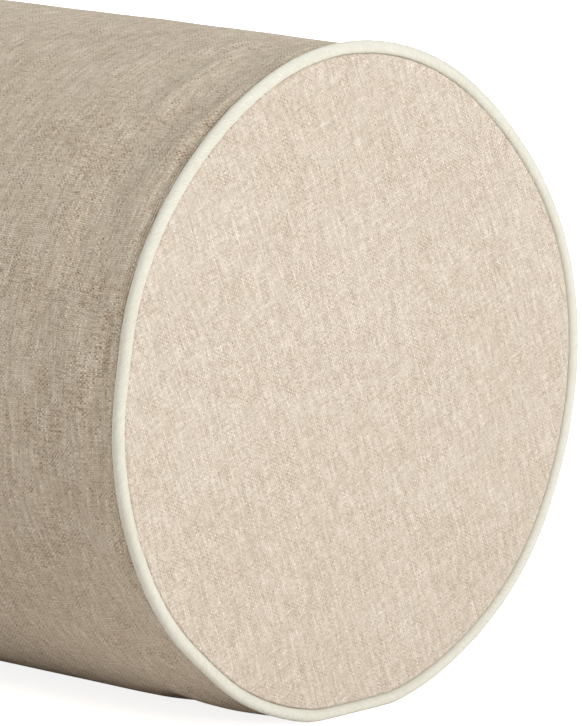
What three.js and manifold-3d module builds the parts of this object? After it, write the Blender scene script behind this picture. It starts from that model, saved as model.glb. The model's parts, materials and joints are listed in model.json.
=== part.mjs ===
// Bolster pillow: a zip-off cover with piped round ends over a lined and wrapped foam insert.
//
// Millimetres. X runs along the bolster, Z is up and the floor is z = 0. The origin lies on the
// floor, under the middle of the bolster. "Right" is the +X end and "left" the -X end.
// The zip runs along the back, on the +Y side, a little above half height.

import * as THREE from 'three';
import { mergeVertices } from 'three/addons/utils/BufferGeometryUtils.js';
import Module from 'manifold-3d';

const wasm = await Module();
wasm.setup();

// ---- Driving dimensions ----

const LENGTH = 660;
const BARREL_RADIUS = 114.6;
const SHOULDER_RADIUS = 114;
const SHOULDER_LENGTH = 22;
const PARALLEL_LENGTH = 524;
const END_CROWN = 3;
const REST_SINK = 1.6;

const COVER_CLOTH = 0.8;
const PIPING_CLOTH = 0.5;
const LINER_CLOTH = 0.6;
const GAP = 0.3;

const PIPING_RADIUS = 2.15;
const PIPING_INSET = 0.43;
const SEAM_ALLOWANCE = 6;

const LINER_RADIUS = 112.8;
const LINER_HALF_LENGTH = 328.6;
const LINER_CORNER = 20;
const LINER_ALLOWANCE = 4;
const CORE_RADIUS = 97.7;
const CORE_HALF_LENGTH = 314;
const CORE_CHAMFER = 3;

const ZIP_ANGLE = 22.5;
const ZIP_OPENING = 508;
const ZIP_SLOT_HALF_WIDTH = 5;
const ZIP_FOLD_WIDTH = 12;
const ZIP_FLAT_HEIGHT = 109.9;
const TAPE_LENGTH = 538;
const TAPE_WIDTH = 15.25;
const TAPE_THICKNESS = 0.6;
const TAPE_TOP_RADIUS = 112.4;
const COIL_HALF_WIDTH = 3;
const COIL_HEIGHT = 1.6;
const SLIDER_REST_X = -238;
const SLIDER_HALF_LENGTH = 6.2;
const SLIDER_NOSE_HALF_WIDTH = 4.6;
const SLIDER_TAIL_HALF_WIDTH = 3.95;
const SLIDER_PLATE = 1.2;
const DIVIDER_HALF_WIDTH = 1;
const PULL_LENGTH = 24;
const PULL_THICKNESS = 1.2;
const PULL_DROOP = 3.5;
const BOTTOM_STOP_X = 244;

const SIDES = 48;

// ---- Sizes that follow from them ----

const AXIS_HEIGHT = BARREL_RADIUS - REST_SINK;
const SEAM_X = LENGTH / 2;
const SEAM_RADIUS = BARREL_RADIUS - PIPING_RADIUS + PIPING_INSET;
const PIPING_CORD_RADIUS = PIPING_RADIUS - PIPING_CLOTH - GAP;
const CORNER_X = LINER_HALF_LENGTH - LINER_CORNER;
const CORNER_RADIUS = LINER_RADIUS - LINER_CORNER;
const WRAP_RADIUS = LINER_RADIUS - LINER_CLOTH - GAP;
const COIL_BASE = TAPE_TOP_RADIUS + GAP;
const COIL_TOP = COIL_BASE + COIL_HEIGHT;
const UPPER_PLATE_BASE = COIL_TOP + GAP;
const UPPER_PLATE_TOP = UPPER_PLATE_BASE + SLIDER_PLATE;
const LOWER_PLATE_TOP = TAPE_TOP_RADIUS - TAPE_THICKNESS - GAP;
const FACET = (2 * Math.PI) / SIDES;
const DIAGONAL = Math.PI * 1.25;

// ---- Materials ----

function cloth(color, roughness = 0.95) {
  return new THREE.MeshStandardMaterial({ color, roughness, metalness: 0 });
}

const slubWeave = cloth(0xd8c9b4);
const pipingTwill = cloth(0xe6dfd0);
const cottonFiller = cloth(0xf1ede2);
const linerMuslin = cloth(0xefe9dc);
const polyesterBatting = cloth(0xf7f6f2);
const zipTapeCloth = cloth(0xd5c6b0);
const foam = cloth(0xf0e6c8, 0.9);
const coilNylon = cloth(0xcdbda5, 0.5);
const nickelPlate = new THREE.MeshStandardMaterial({ color: 0xb9b6ae, roughness: 0.3, metalness: 1 });

// ---- Helpers ----

const radians = THREE.MathUtils.degToRad;

// Welds the vertices, drops triangles without area and turns every face outwards.
function closedBody(source) {
  const bare = source.index ? source.toNonIndexed() : source.clone();
  bare.deleteAttribute('normal');
  bare.deleteAttribute('uv');
  const welded = mergeVertices(bare, 1e-4);
  const index = welded.index.array;
  const position = welded.attributes.position;
  const kept = [];
  const [a, b, c] = [new THREE.Vector3(), new THREE.Vector3(), new THREE.Vector3()];
  let volume = 0;
  for (let i = 0; i < index.length; i += 3) {
    const [p, q, r] = [index[i], index[i + 1], index[i + 2]];
    if (p === q || q === r || r === p) continue;
    kept.push(p, q, r);
    a.fromBufferAttribute(position, p);
    b.fromBufferAttribute(position, q);
    c.fromBufferAttribute(position, r);
    volume += a.dot(b.cross(c));
  }
  if (volume < 0) kept.reverse();
  welded.setIndex(kept);
  return welded;
}

function toSolid(geometry) {
  const body = closedBody(geometry);
  const mesh = new wasm.Mesh({
    numProp: 3,
    vertProperties: new Float32Array(body.attributes.position.array),
    triVerts: new Uint32Array(body.index.array),
  });
  return new wasm.Manifold(mesh);
}

function toGeometry(solid) {
  const { vertProperties, triVerts } = solid.getMesh();
  const geometry = new THREE.BufferGeometry();
  geometry.setAttribute('position', new THREE.BufferAttribute(new Float32Array(vertProperties), 3));
  geometry.setIndex(Array.from(triVerts));
  return geometry;
}

function joined(...geometries) {
  return toGeometry(geometries.map(toSolid).reduce((whole, next) => whole.add(next)));
}

function cut(geometry, ...tools) {
  return toGeometry(tools.map(toSolid).reduce((whole, tool) => whole.subtract(tool), toSolid(geometry)));
}

// A box given by its lowest and highest corner.
function box(low, high) {
  const size = high.map((value, axis) => value - low[axis]);
  const middle = high.map((value, axis) => (value + low[axis]) / 2);
  return new THREE.BoxGeometry(...size).translate(...middle);
}

function outlineShape(points) {
  return new THREE.Shape(points.map(([x, y]) => new THREE.Vector2(x, y)));
}

// A plan outline in x and y, given height from z = from to z = to.
function plate(points, from, to) {
  const geometry = new THREE.ExtrudeGeometry(outlineShape(points), { depth: to - from, bevelEnabled: false });
  return geometry.translate(0, 0, from);
}

// A cross-section in y and z, drawn out along x.
function runAlongX(points, from, to) {
  const geometry = new THREE.ExtrudeGeometry(outlineShape(points), { depth: to - from, bevelEnabled: false });
  const yAxis = new THREE.Vector3(0, 1, 0);
  const zAxis = new THREE.Vector3(0, 0, 1);
  const xAxis = new THREE.Vector3(1, 0, 0);
  geometry.applyMatrix4(new THREE.Matrix4().makeBasis(yAxis, zAxis, xAxis));
  return geometry.translate(from, 0, 0);
}

// An outline of [x, radius] points turned about the X axis.
function turned(outline, closed = true) {
  const points = outline.map(([x, radius]) => new THREE.Vector2(radius, x));
  if (closed) points.push(points[0].clone());
  return new THREE.LatheGeometry(points, SIDES).rotateZ(-Math.PI / 2);
}

function polar(centre, radius, angle) {
  return [centre[0] + radius * Math.cos(angle), centre[1] + radius * Math.sin(angle)];
}

function arcPoints(centre, radius, from, to, steps) {
  return Array.from({ length: steps + 1 }, (_, i) => polar(centre, radius, from + ((to - from) * i) / steps));
}

// Gives a path a cloth's thickness: half to each side, with mitred corners.
function strip(path, thickness) {
  const headings = path.slice(1).map((point, i) => Math.atan2(point[1] - path[i][1], point[0] - path[i][0]));
  const side = (sign) => path.map(([x, y], i) => {
    const before = headings[Math.max(i - 1, 0)];
    const after = headings[Math.min(i, headings.length - 1)];
    const turn = Math.atan2(Math.sin(after - before), Math.cos(after - before));
    const reach = (sign * thickness) / 2 / Math.cos(turn / 2);
    const normal = before + turn / 2 + Math.PI / 2;
    return [x + reach * Math.cos(normal), y + reach * Math.sin(normal)];
  });
  return [...side(1), ...side(-1).reverse()];
}

// The same, for a disc whose path starts on the axis: both faces then start there too.
function discStrip(path, thickness) {
  const outline = strip(path, thickness);
  outline[0][1] = 0;
  outline[outline.length - 1][1] = 0;
  return outline;
}

// How far a round end bulges out at a radius, compared with its rim.
function crown(radius) {
  return END_CROWN * (1 - (radius / SEAM_RADIUS) ** 2);
}

// ---- How the soft layers give ----

// Moves each vertex towards the axis by press(angle), in full at the radius "outer" and fading to
// nothing at the foam core, which is firm. The angle is measured round the axis from +Y towards +Z.
function pressed(geometry, outer, press) {
  const position = geometry.attributes.position;
  for (let i = 0; i < position.count; i += 1) {
    const y = position.getY(i);
    const z = position.getZ(i);
    const radius = Math.hypot(y, z);
    const share = THREE.MathUtils.clamp((radius - CORE_RADIUS) / (outer - CORE_RADIUS), 0, 1);
    if (share === 0) continue;
    const scale = 1 - (press(Math.atan2(z, y)) * share) / radius;
    position.setY(i, y * scale);
    position.setZ(i, z * scale);
  }
  return geometry;
}

// How deep a plane at a distance from the axis, facing an angle, cuts into a circle.
function planeDepth(radius, distance, facing) {
  return (angle) => {
    const cosine = Math.cos(angle - facing);
    return cosine > 0 ? Math.max(0, radius - distance / cosine) : 0;
  };
}

// The underside lies flat on the floor under the bolster's own weight.
function rested(geometry) {
  const depth = planeDepth(BARREL_RADIUS, AXIS_HEIGHT, -Math.PI / 2);
  return pressed(closedBody(geometry), BARREL_RADIUS, depth);
}

// The insert also lies flat behind the zip, so that the slider can pass.
function restedBehindZip(geometry) {
  const depth = planeDepth(LINER_RADIUS, ZIP_FLAT_HEIGHT, radians(ZIP_ANGLE));
  return rested(pressed(closedBody(geometry), LINER_RADIUS, depth));
}

// ---- The piped seam, in [along the panel, out of the panel] from the seam's outer corner ----

const PIPING_CENTRE = [-PIPING_INSET, -PIPING_INSET];

// A path that leaves the seam into the cover, on one side of the seam's diagonal.
function alongAllowance(radius, offset) {
  const angle = DIAGONAL - Math.asin(offset / radius);
  const start = polar(PIPING_CENTRE, radius, angle);
  const run = PIPING_RADIUS + SEAM_ALLOWANCE - Math.sqrt(radius ** 2 - offset ** 2);
  const end = [start[0] + run * Math.cos(DIAGONAL), start[1] + run * Math.sin(DIAGONAL)];
  return { angle, end };
}

// The cover cloth's middle line: down round the piping, then inwards as seam allowance.
function turnedInEdge() {
  const radius = PIPING_RADIUS + GAP + COVER_CLOTH / 2;
  const offset = GAP / 2 + PIPING_CLOTH + GAP + COVER_CLOTH / 2;
  const from = Math.PI - Math.asin((PIPING_INSET - COVER_CLOTH / 2) / radius);
  const { angle, end } = alongAllowance(radius, offset);
  return [...arcPoints(PIPING_CENTRE, radius, from, angle, 2), end];
}

// The bias strip's middle line: up one allowance, round the filler cord and down the other.
function foldedBiasStrip() {
  const radius = PIPING_RADIUS - PIPING_CLOTH / 2;
  const offset = GAP / 2 + PIPING_CLOTH / 2;
  const first = alongAllowance(radius, offset);
  const last = alongAllowance(radius, -offset);
  const round = arcPoints(PIPING_CENTRE, radius, first.angle, last.angle - 2 * Math.PI, 7);
  return [first.end, ...round, last.end];
}

// ---- The cover ----

const onBarrel = ([along, out]) => [SEAM_X + along, SEAM_RADIUS + out];
const onEnd = ([along, out]) => [SEAM_X + out, SEAM_RADIUS + along];

// Points on the many-sided outline that a turned piece of this radius has, as [y, z] about the zip.
function facetArc(radius, from, to) {
  const inside = [-2, -1, 0, 1, 2].map((step) => step * FACET);
  const angles = [from, ...inside.filter((angle) => angle > from && angle < to), to];
  return angles.map((angle) => {
    const intoFacet = angle - Math.floor(angle / FACET) * FACET - FACET / 2;
    const reach = (radius * Math.cos(FACET / 2)) / Math.cos(intoFacet);
    return [reach * Math.sin(angle), reach * Math.cos(angle)];
  });
}

// A band of cloth that follows the barrel beside the zip, between two radii.
function facetBand(inner, outer, from, to) {
  return [...facetArc(outer, from, to), ...facetArc(inner, from, to).reverse()];
}

function mirrored(points, side) {
  return side > 0 ? points : points.map(([y, z]) => [-y, z]);
}

// The barrel cloth's edge turned under along one side of the zip. Its bend stands a little proud
// of the slot's cut edge, and reaches up into the barrel cloth.
function zipFold(side) {
  const top = BARREL_RADIUS - COVER_CLOTH - GAP;
  const proud = COVER_CLOTH / 4;
  const edge = (ZIP_SLOT_HALF_WIDTH - proud) / top;
  const bend = (ZIP_SLOT_HALF_WIDTH + COVER_CLOTH - proud) / top;
  const end = (ZIP_SLOT_HALF_WIDTH + ZIP_FOLD_WIDTH) / top;
  const section = [
    ...facetArc(top + COVER_CLOTH / 2 + proud, edge, bend),
    ...facetArc(top, bend, end),
    ...facetArc(top - COVER_CLOTH, edge, end).reverse(),
  ];
  const half = ZIP_OPENING / 2 - proud;
  return runAlongX(mirrored(section, side), -half, half);
}

function barrelPanel() {
  const middle = BARREL_RADIUS - COVER_CLOTH / 2;
  const half = [
    [PARALLEL_LENGTH / 2, middle],
    [SEAM_X - SHOULDER_LENGTH, SHOULDER_RADIUS - COVER_CLOTH / 2],
    [SEAM_X - SHOULDER_LENGTH / 3, (SHOULDER_RADIUS + SEAM_RADIUS) / 2 - COVER_CLOTH / 2 + GAP],
    ...turnedInEdge().map(onBarrel),
  ];
  const otherHalf = half.map(([x, radius]) => [-x, radius]).reverse();
  const tube = turned(strip([...otherHalf, ...half], COVER_CLOTH));
  const slot = box(
    [-ZIP_OPENING / 2, -ZIP_SLOT_HALF_WIDTH, BARREL_RADIUS - 4],
    [ZIP_OPENING / 2, ZIP_SLOT_HALF_WIDTH, BARREL_RADIUS + 4],
  );
  const toZip = radians(ZIP_ANGLE) - Math.PI / 2;
  const folds = [-1, 1].map((side) => zipFold(side).rotateX(toZip));
  return rested(joined(cut(tube, slot.rotateX(toZip)), ...folds));
}

function endPanel() {
  const faceRadii = [0, 50, 80, 102];
  const face = faceRadii.map((radius) => [SEAM_X - COVER_CLOTH / 2 + crown(radius), radius]);
  return turned(discStrip([...face, ...turnedInEdge().map(onEnd)], COVER_CLOTH), false);
}

function pipingSleeve() {
  return turned(strip(foldedBiasStrip().map(onBarrel), PIPING_CLOTH));
}

function pipingCord() {
  const round = arcPoints(onBarrel(PIPING_CENTRE), PIPING_CORD_RADIUS, 0, 2 * Math.PI, 8);
  return turned(round.slice(0, -1));
}

// ---- The insert ----

const LINER_CORNER_CENTRE = [CORNER_X, CORNER_RADIUS];

// The liner cloth's middle line round the insert's corner, from an angle to the seam halfway.
function linerCorner(from, side) {
  const radius = LINER_CORNER - LINER_CLOTH / 2;
  const seam = Math.PI / 4 + side * Math.asin((LINER_CLOTH / 2 + GAP / 2) / radius);
  const bend = arcPoints(LINER_CORNER_CENTRE, radius, from, seam, 2);
  const last = bend[bend.length - 1];
  const step = LINER_ALLOWANCE * Math.SQRT1_2;
  return [...bend, [last[0] - step, last[1] - step]];
}

function linerTube() {
  const half = linerCorner(Math.PI / 2, 1);
  const otherHalf = half.map(([x, radius]) => [-x, radius]).reverse();
  return turned(strip([...otherHalf, ...half], LINER_CLOTH));
}

function linerEnd() {
  const rim = LINER_HALF_LENGTH - LINER_CLOTH / 2;
  const face = [0, 60].map((radius) => [rim + crown(radius) - crown(CORNER_RADIUS), radius]);
  return turned(discStrip([...face, ...linerCorner(0, -1)], LINER_CLOTH), false);
}

function battingWrap() {
  const clear = LINER_CORNER - LINER_CLOTH - 3 * GAP;
  const reach = Math.sqrt(clear ** 2 - (CORE_HALF_LENGTH - CORNER_X) ** 2);
  const shoulder = CORNER_RADIUS + reach;
  return turned([
    [-CORE_HALF_LENGTH, CORE_RADIUS + GAP],
    [-CORE_HALF_LENGTH, shoulder],
    [-CORNER_X, WRAP_RADIUS],
    [CORNER_X, WRAP_RADIUS],
    [CORE_HALF_LENGTH, shoulder],
    [CORE_HALF_LENGTH, CORE_RADIUS + GAP],
  ]);
}

function battingEnd() {
  const back = CORE_HALF_LENGTH + GAP;
  const rim = LINER_HALF_LENGTH - LINER_CLOTH - GAP;
  const face = [0, 60].map((radius) => [rim + crown(radius) - crown(CORNER_RADIUS), radius]);
  const chamfer = LINER_CORNER * 0.6;
  return turned([...face, [rim, CORNER_RADIUS], [back, CORNER_RADIUS + chamfer], [back, 0]], false);
}

function foamCore() {
  const edge = CORE_HALF_LENGTH - CORE_CHAMFER;
  return turned([
    [-CORE_HALF_LENGTH, 0],
    [-CORE_HALF_LENGTH, CORE_RADIUS - CORE_CHAMFER],
    [-edge, CORE_RADIUS],
    [edge, CORE_RADIUS],
    [CORE_HALF_LENGTH, CORE_RADIUS - CORE_CHAMFER],
    [CORE_HALF_LENGTH, 0],
  ], false);
}

// ---- The zip, in a frame of its own: x along it, y down the back, z outwards from the axis ----

const NOSE_X = SLIDER_REST_X - SLIDER_HALF_LENGTH;
const DIVIDER_LENGTH = 3.4;
const STOP_LENGTH = 2.6;
const TOP_STOP_X = NOSE_X - GAP - STOP_LENGTH;
const BOTTOM_STOP_LENGTH = 4;
const TAPE_NOTCH = DIVIDER_HALF_WIDTH + 0.35;
const BOTTOM_STOP_WEB = 0.6;

function zipTape(side) {
  const centreGap = GAP / 2 + 0.1;
  const edges = [centreGap, centreGap + TAPE_WIDTH].map((y) => y / TAPE_TOP_RADIUS);
  const section = facetBand(TAPE_TOP_RADIUS - TAPE_THICKNESS, TAPE_TOP_RADIUS, ...edges);
  const tape = runAlongX(mirrored(section, side), -TAPE_LENGTH / 2, TAPE_LENGTH / 2);
  const low = TAPE_TOP_RADIUS - 4;
  const high = TAPE_TOP_RADIUS + 4;
  const noseNotch = box(
    [TOP_STOP_X - GAP, -TAPE_NOTCH, low],
    [NOSE_X + DIVIDER_LENGTH + GAP, TAPE_NOTCH, high],
  );
  const stopNotch = box(
    [BOTTOM_STOP_X - GAP, -BOTTOM_STOP_WEB - GAP, low],
    [BOTTOM_STOP_X + BOTTOM_STOP_LENGTH + GAP, BOTTOM_STOP_WEB + GAP, high],
  );
  return cut(tape, noseNotch, stopNotch);
}

// The space that one coil's turns fill. At the closed end it parts from the other coil, round the divider.
function zipCoil(side) {
  const inner = GAP / 2;
  const partedInner = DIVIDER_HALF_WIDTH + GAP;
  const partedOuter = COIL_HALF_WIDTH + 0.55;
  const parted = NOSE_X + DIVIDER_LENGTH + GAP;
  const outline = [
    [NOSE_X, partedInner],
    [parted - GAP, partedInner],
    [parted + 1, inner],
    [BOTTOM_STOP_X - GAP, inner],
    [BOTTOM_STOP_X - GAP, COIL_HALF_WIDTH],
    [parted + 2, COIL_HALF_WIDTH],
    [NOSE_X + 1, partedOuter],
    [NOSE_X, partedOuter],
  ];
  return plate(outline.map(([x, y]) => [x, side * y]), COIL_BASE, COIL_TOP);
}

// A metal clip pressed over one tape's edge.
function topStop(side) {
  const under = LOWER_PLATE_TOP - 0.6;
  const section = [
    [TAPE_NOTCH + 2, COIL_TOP - 0.3],
    [0.5, COIL_TOP - 0.3],
    [0.5, under],
    [TAPE_NOTCH + 2, under],
    [TAPE_NOTCH + 2, LOWER_PLATE_TOP],
    [TAPE_NOTCH - GAP, LOWER_PLATE_TOP],
    [TAPE_NOTCH - GAP, COIL_BASE],
    [TAPE_NOTCH + 2, COIL_BASE],
  ];
  return runAlongX(mirrored(section, side), TOP_STOP_X, TOP_STOP_X + STOP_LENGTH);
}

// A metal clip that holds the two tapes together where the zip ends.
function bottomStop() {
  const width = COIL_HALF_WIDTH + 0.4;
  const under = LOWER_PLATE_TOP - 0.6;
  const section = [
    [-width, COIL_TOP],
    [-width, COIL_BASE],
    [-BOTTOM_STOP_WEB, COIL_BASE],
    [-BOTTOM_STOP_WEB, LOWER_PLATE_TOP],
    [-width, LOWER_PLATE_TOP],
    [-width, under],
    [width, under],
    [width, LOWER_PLATE_TOP],
    [BOTTOM_STOP_WEB, LOWER_PLATE_TOP],
    [BOTTOM_STOP_WEB, COIL_BASE],
    [width, COIL_BASE],
    [width, COIL_TOP],
  ];
  return runAlongX(section, BOTTOM_STOP_X, BOTTOM_STOP_X + BOTTOM_STOP_LENGTH);
}

// The slider and its pull are drawn about the slider's own middle, x = 0.

const HINGE_X = -0.3;
const HINGE_HEIGHT = UPPER_PLATE_TOP + 1.2;
const BRIDGE_TOP = HINGE_HEIGHT + 2.1;
const BRIDGE_HALF_WIDTH = 1.2;
const PULL_EYE_HALF_WIDTH = 1.7;

function sliderOutline() {
  const nose = SLIDER_NOSE_HALF_WIDTH;
  const tail = SLIDER_TAIL_HALF_WIDTH;
  const half = SLIDER_HALF_LENGTH;
  const one = [
    [-half, 2.6],
    [-half + 0.7, nose - 0.5],
    [-half + 1.9, nose],
    [half - 4, tail],
    [half - 0.8, tail],
    [half, tail - 0.8],
  ];
  return [...one, ...one.map(([x, y]) => [x, -y]).reverse()];
}

function sliderFlange(side) {
  const wall = 0.7;
  const half = SLIDER_HALF_LENGTH;
  const nose = SLIDER_NOSE_HALF_WIDTH;
  const tail = SLIDER_TAIL_HALF_WIDTH;
  const outline = [
    [-half + 1.9, nose],
    [half - 4, tail],
    [half - 0.8, tail],
    [half - 0.8, tail - wall],
    [half - 4, tail - wall],
    [-half + 1.9, nose - wall],
  ];
  return plate(outline.map(([x, y]) => [x, side * y]), COIL_BASE + 0.1, UPPER_PLATE_BASE + 0.2);
}

function sliderBridge() {
  const reach = 3.6;
  const leg = 1;
  const foot = UPPER_PLATE_TOP - 0.2;
  const arch = [
    [-reach, foot],
    [-reach, BRIDGE_TOP - 1],
    [-reach + 1, BRIDGE_TOP],
    [reach - 1, BRIDGE_TOP],
    [reach, BRIDGE_TOP - 1],
    [reach, foot],
    [reach - leg, foot],
    [reach - leg, BRIDGE_TOP - 1],
    [-reach + leg, BRIDGE_TOP - 1],
    [-reach + leg, foot],
  ];
  const raised = plate(arch.map(([x, z]) => [x, z]), -BRIDGE_HALF_WIDTH, BRIDGE_HALF_WIDTH);
  return raised.rotateX(Math.PI / 2);
}

function slider() {
  const upper = plate(sliderOutline(), UPPER_PLATE_BASE, UPPER_PLATE_TOP);
  const lower = plate(sliderOutline(), LOWER_PLATE_TOP - SLIDER_PLATE, LOWER_PLATE_TOP);
  const half = SLIDER_HALF_LENGTH;
  const wedge = [
    [-half + 0.2, -DIVIDER_HALF_WIDTH],
    [-half + 2, -DIVIDER_HALF_WIDTH],
    [-half + DIVIDER_LENGTH, 0],
    [-half + 2, DIVIDER_HALF_WIDTH],
    [-half + 0.2, DIVIDER_HALF_WIDTH],
  ];
  const divider = plate(wedge, LOWER_PLATE_TOP - 0.2, UPPER_PLATE_BASE + 0.2);
  return joined(upper, lower, divider, sliderFlange(1), sliderFlange(-1), sliderBridge());
}

// The pull is drawn about its hinge, lying along +x.
function pullTab() {
  const bar = 0.7;
  const one = [
    [-bar, 3],
    [7, 3],
    [10, 2.2],
    [17, 2.6],
    [PULL_LENGTH - 3, 3.2],
    [PULL_LENGTH - 0.9, 2.4],
    [PULL_LENGTH, 1],
  ];
  const shape = outlineShape([...one, ...one.map(([x, y]) => [x, -y]).reverse()]);
  const eye = [[bar, -1], [5.8, -1], [5.8, 1], [bar, 1]].map(([x, y]) => [x, y * PULL_EYE_HALF_WIDTH]);
  shape.holes.push(new THREE.Path(eye.map(([x, y]) => new THREE.Vector2(x, y))));
  const grip = arcPoints([PULL_LENGTH - 4, 0], 1.3, 0, 2 * Math.PI, 10).slice(0, -1);
  shape.holes.push(new THREE.Path(grip.map(([x, y]) => new THREE.Vector2(x, y))));
  const geometry = new THREE.ExtrudeGeometry(shape, { depth: PULL_THICKNESS, bevelEnabled: false });
  return geometry.translate(0, 0, -PULL_THICKNESS / 2).rotateY(radians(PULL_DROOP));
}

// ---- Assembly ----

function piece(name, geometry, material) {
  const body = closedBody(geometry);
  body.computeVertexNormals();
  const mesh = new THREE.Mesh(body, material);
  mesh.name = name;
  return mesh;
}

const cover = new THREE.Group();
cover.add(piece('barrel_panel', barrelPanel(), slubWeave));

const insert = new THREE.Group();
insert.add(piece('liner_tube', restedBehindZip(linerTube()), linerMuslin));
insert.add(piece('batting_wrap', restedBehindZip(battingWrap()), polyesterBatting));
insert.add(piece('foam_core', foamCore(), foam));

for (const [side, turn] of [['right', 0], ['left', Math.PI]]) {
  cover.add(piece(`end_panel_${side}`, rested(endPanel().rotateZ(turn)), slubWeave));
  cover.add(piece(`piping_sleeve_${side}`, rested(pipingSleeve().rotateZ(turn)), pipingTwill));
  cover.add(piece(`piping_cord_${side}`, rested(pipingCord().rotateZ(turn)), cottonFiller));
  insert.add(piece(`liner_end_${side}`, restedBehindZip(linerEnd().rotateZ(turn)), linerMuslin));
  insert.add(piece(`batting_end_${side}`, restedBehindZip(battingEnd().rotateZ(turn)), polyesterBatting));
}

const zip = new THREE.Group();
zip.rotation.x = radians(ZIP_ANGLE) - Math.PI / 2;
for (const [name, side] of [['upper', -1], ['lower', 1]]) {
  zip.add(piece(`zipper_tape_${name}`, zipTape(side), zipTapeCloth));
  zip.add(piece(`zipper_coil_${name}`, zipCoil(side), coilNylon));
  zip.add(piece(`zipper_top_stop_${name}`, topStop(side), nickelPlate));
}
zip.add(piece('zipper_bottom_stop', bottomStop(), nickelPlate));

const runner = new THREE.Group();
runner.position.x = SLIDER_REST_X;
runner.add(piece('zipper_slider', slider(), nickelPlate));
const pull = piece('zipper_pull_tab', pullTab(), nickelPlate);
pull.position.set(HINGE_X, 0, HINGE_HEIGHT);
runner.add(pull);
zip.add(runner);

const bolster = new THREE.Group();
bolster.position.z = AXIS_HEIGHT;
bolster.add(cover, insert, zip);

export default bolster;
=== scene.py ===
"""A bolster pillow: a zip-off slub-weave cover with piped round ends over a lined, wrapped foam insert.

Everything is in metres in the frame's own axes: X along the bolster, Z up, the floor at z = 0. The zip
runs along the back, on the +Y side. Angles round the bolster are measured from +Y towards +Z.
"""

import json
import logging
import math
from dataclasses import dataclass
from enum import Enum
from functools import reduce
from typing import Callable, Optional, Union

import bpy
import numpy as np
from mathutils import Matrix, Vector


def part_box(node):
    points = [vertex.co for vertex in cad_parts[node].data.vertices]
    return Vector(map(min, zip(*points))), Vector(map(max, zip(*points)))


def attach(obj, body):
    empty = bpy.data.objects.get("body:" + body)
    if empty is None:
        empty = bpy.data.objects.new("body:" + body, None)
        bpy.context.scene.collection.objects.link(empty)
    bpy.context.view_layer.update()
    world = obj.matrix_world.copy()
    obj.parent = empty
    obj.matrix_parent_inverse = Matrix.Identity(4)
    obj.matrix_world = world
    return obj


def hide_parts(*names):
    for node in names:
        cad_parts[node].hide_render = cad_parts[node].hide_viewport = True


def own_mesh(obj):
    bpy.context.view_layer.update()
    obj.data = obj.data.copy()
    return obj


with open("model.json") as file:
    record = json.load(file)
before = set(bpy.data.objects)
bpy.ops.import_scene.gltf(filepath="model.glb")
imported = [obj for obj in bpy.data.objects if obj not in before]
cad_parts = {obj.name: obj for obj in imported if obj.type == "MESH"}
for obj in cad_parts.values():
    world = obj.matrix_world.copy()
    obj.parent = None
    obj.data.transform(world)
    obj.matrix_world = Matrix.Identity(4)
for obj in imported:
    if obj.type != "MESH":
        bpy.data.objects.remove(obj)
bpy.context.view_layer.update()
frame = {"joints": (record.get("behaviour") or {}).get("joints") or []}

MM = 0.001
TAU = 2 * math.pi
DIAGONAL = math.radians(225)
Rgba = tuple[float, float, float, float]
ORIGIN = (0.0, 0.0, 0.0)
GREY = (0.5, 0.5, 0.5, 1.0)
Array = np.ndarray
Socket = bpy.types.NodeSocket
Node = bpy.types.Node
NodeTree = bpy.types.NodeTree
Piece = bpy.types.Object
Feed = Union["Value", Socket, float, tuple]

log = logging.getLogger("bolster")


class Named(Enum):
    """A choice among named options."""

    @property
    def label(self) -> str:
        """Its name, as pieces carry it."""
        return self.name.lower()


class Side(Named):
    """The two ends of the bolster."""

    RIGHT = 1
    LEFT = -1


class Half(Named):
    """The two halves of the zip."""

    LOWER = 1
    UPPER = -1


# ---- Shapes ----


def graded(spacing: Callable[[Array], Array], start: float, end: float) -> Array:
    """Places stations from start to end whose spacing follows a function of place.

    The running sum of 1 / spacing counts the stations passed; even steps of that sum, read
    backwards, are the stations.

    Args:
        spacing: the wanted spacing at each place.
        start: the first station.
        end: the last station.

    Returns:
        The stations, start and end among them.
    """
    fine = np.linspace(start, end, 6001)
    density = 1 / spacing(fine)
    steps = (density[1:] + density[:-1]) / 2 * np.diff(fine)
    passed = np.concatenate([[0.0], np.cumsum(steps)])
    return np.interp(np.linspace(0, passed[-1], int(round(passed[-1])) + 1), passed, fine)


def table(place: Array, places: tuple[float, ...], spacings: tuple[float, ...]) -> Array:
    """Reads a spacing in straight runs between places, both given in millimetres."""
    return np.interp(place, np.array(places) * MM, np.array(spacings) * MM)


def stacked(*parts: Array) -> Array:
    """Joins arrays of coordinates into one array of points."""
    return np.stack(np.broadcast_arrays(*parts), axis=-1)


def circle(angle: Array) -> Array:
    """Points on a circle of radius 1."""
    return np.stack([np.cos(angle), np.sin(angle)], axis=-1)


def bell(distance: Array, width: float) -> Array:
    """A bell curve: 1 at no distance, and 1/e at the width."""
    return np.exp(-((distance / width) ** 2))


def eased(value: Array, low: float, high: float) -> Array:
    """Goes from 0 at low to 1 at high with level ends: 3t^2 - 2t^3."""
    t = np.clip((value - low) / (high - low), 0, 1)
    return t * t * (3 - 2 * t)


def ripples(angle: Array, waves: tuple[int, ...], seed: int) -> Array:
    """Adds whole-numbered waves round a ring, each with its own place and share.

    Args:
        angle: the angle round the ring.
        waves: how many waves each ripple has round the ring.
        seed: picks the ripples' places and shares.

    Returns:
        Values of about -1 to 1.
    """
    rng = np.random.default_rng(seed)
    places = rng.uniform(0, TAU, len(waves))
    shares = rng.uniform(0.5, 1.0, len(waves))
    total = sum(s * np.cos(n * angle + p) for n, p, s in zip(waves, places, shares))
    return total / shares.sum()


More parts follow.
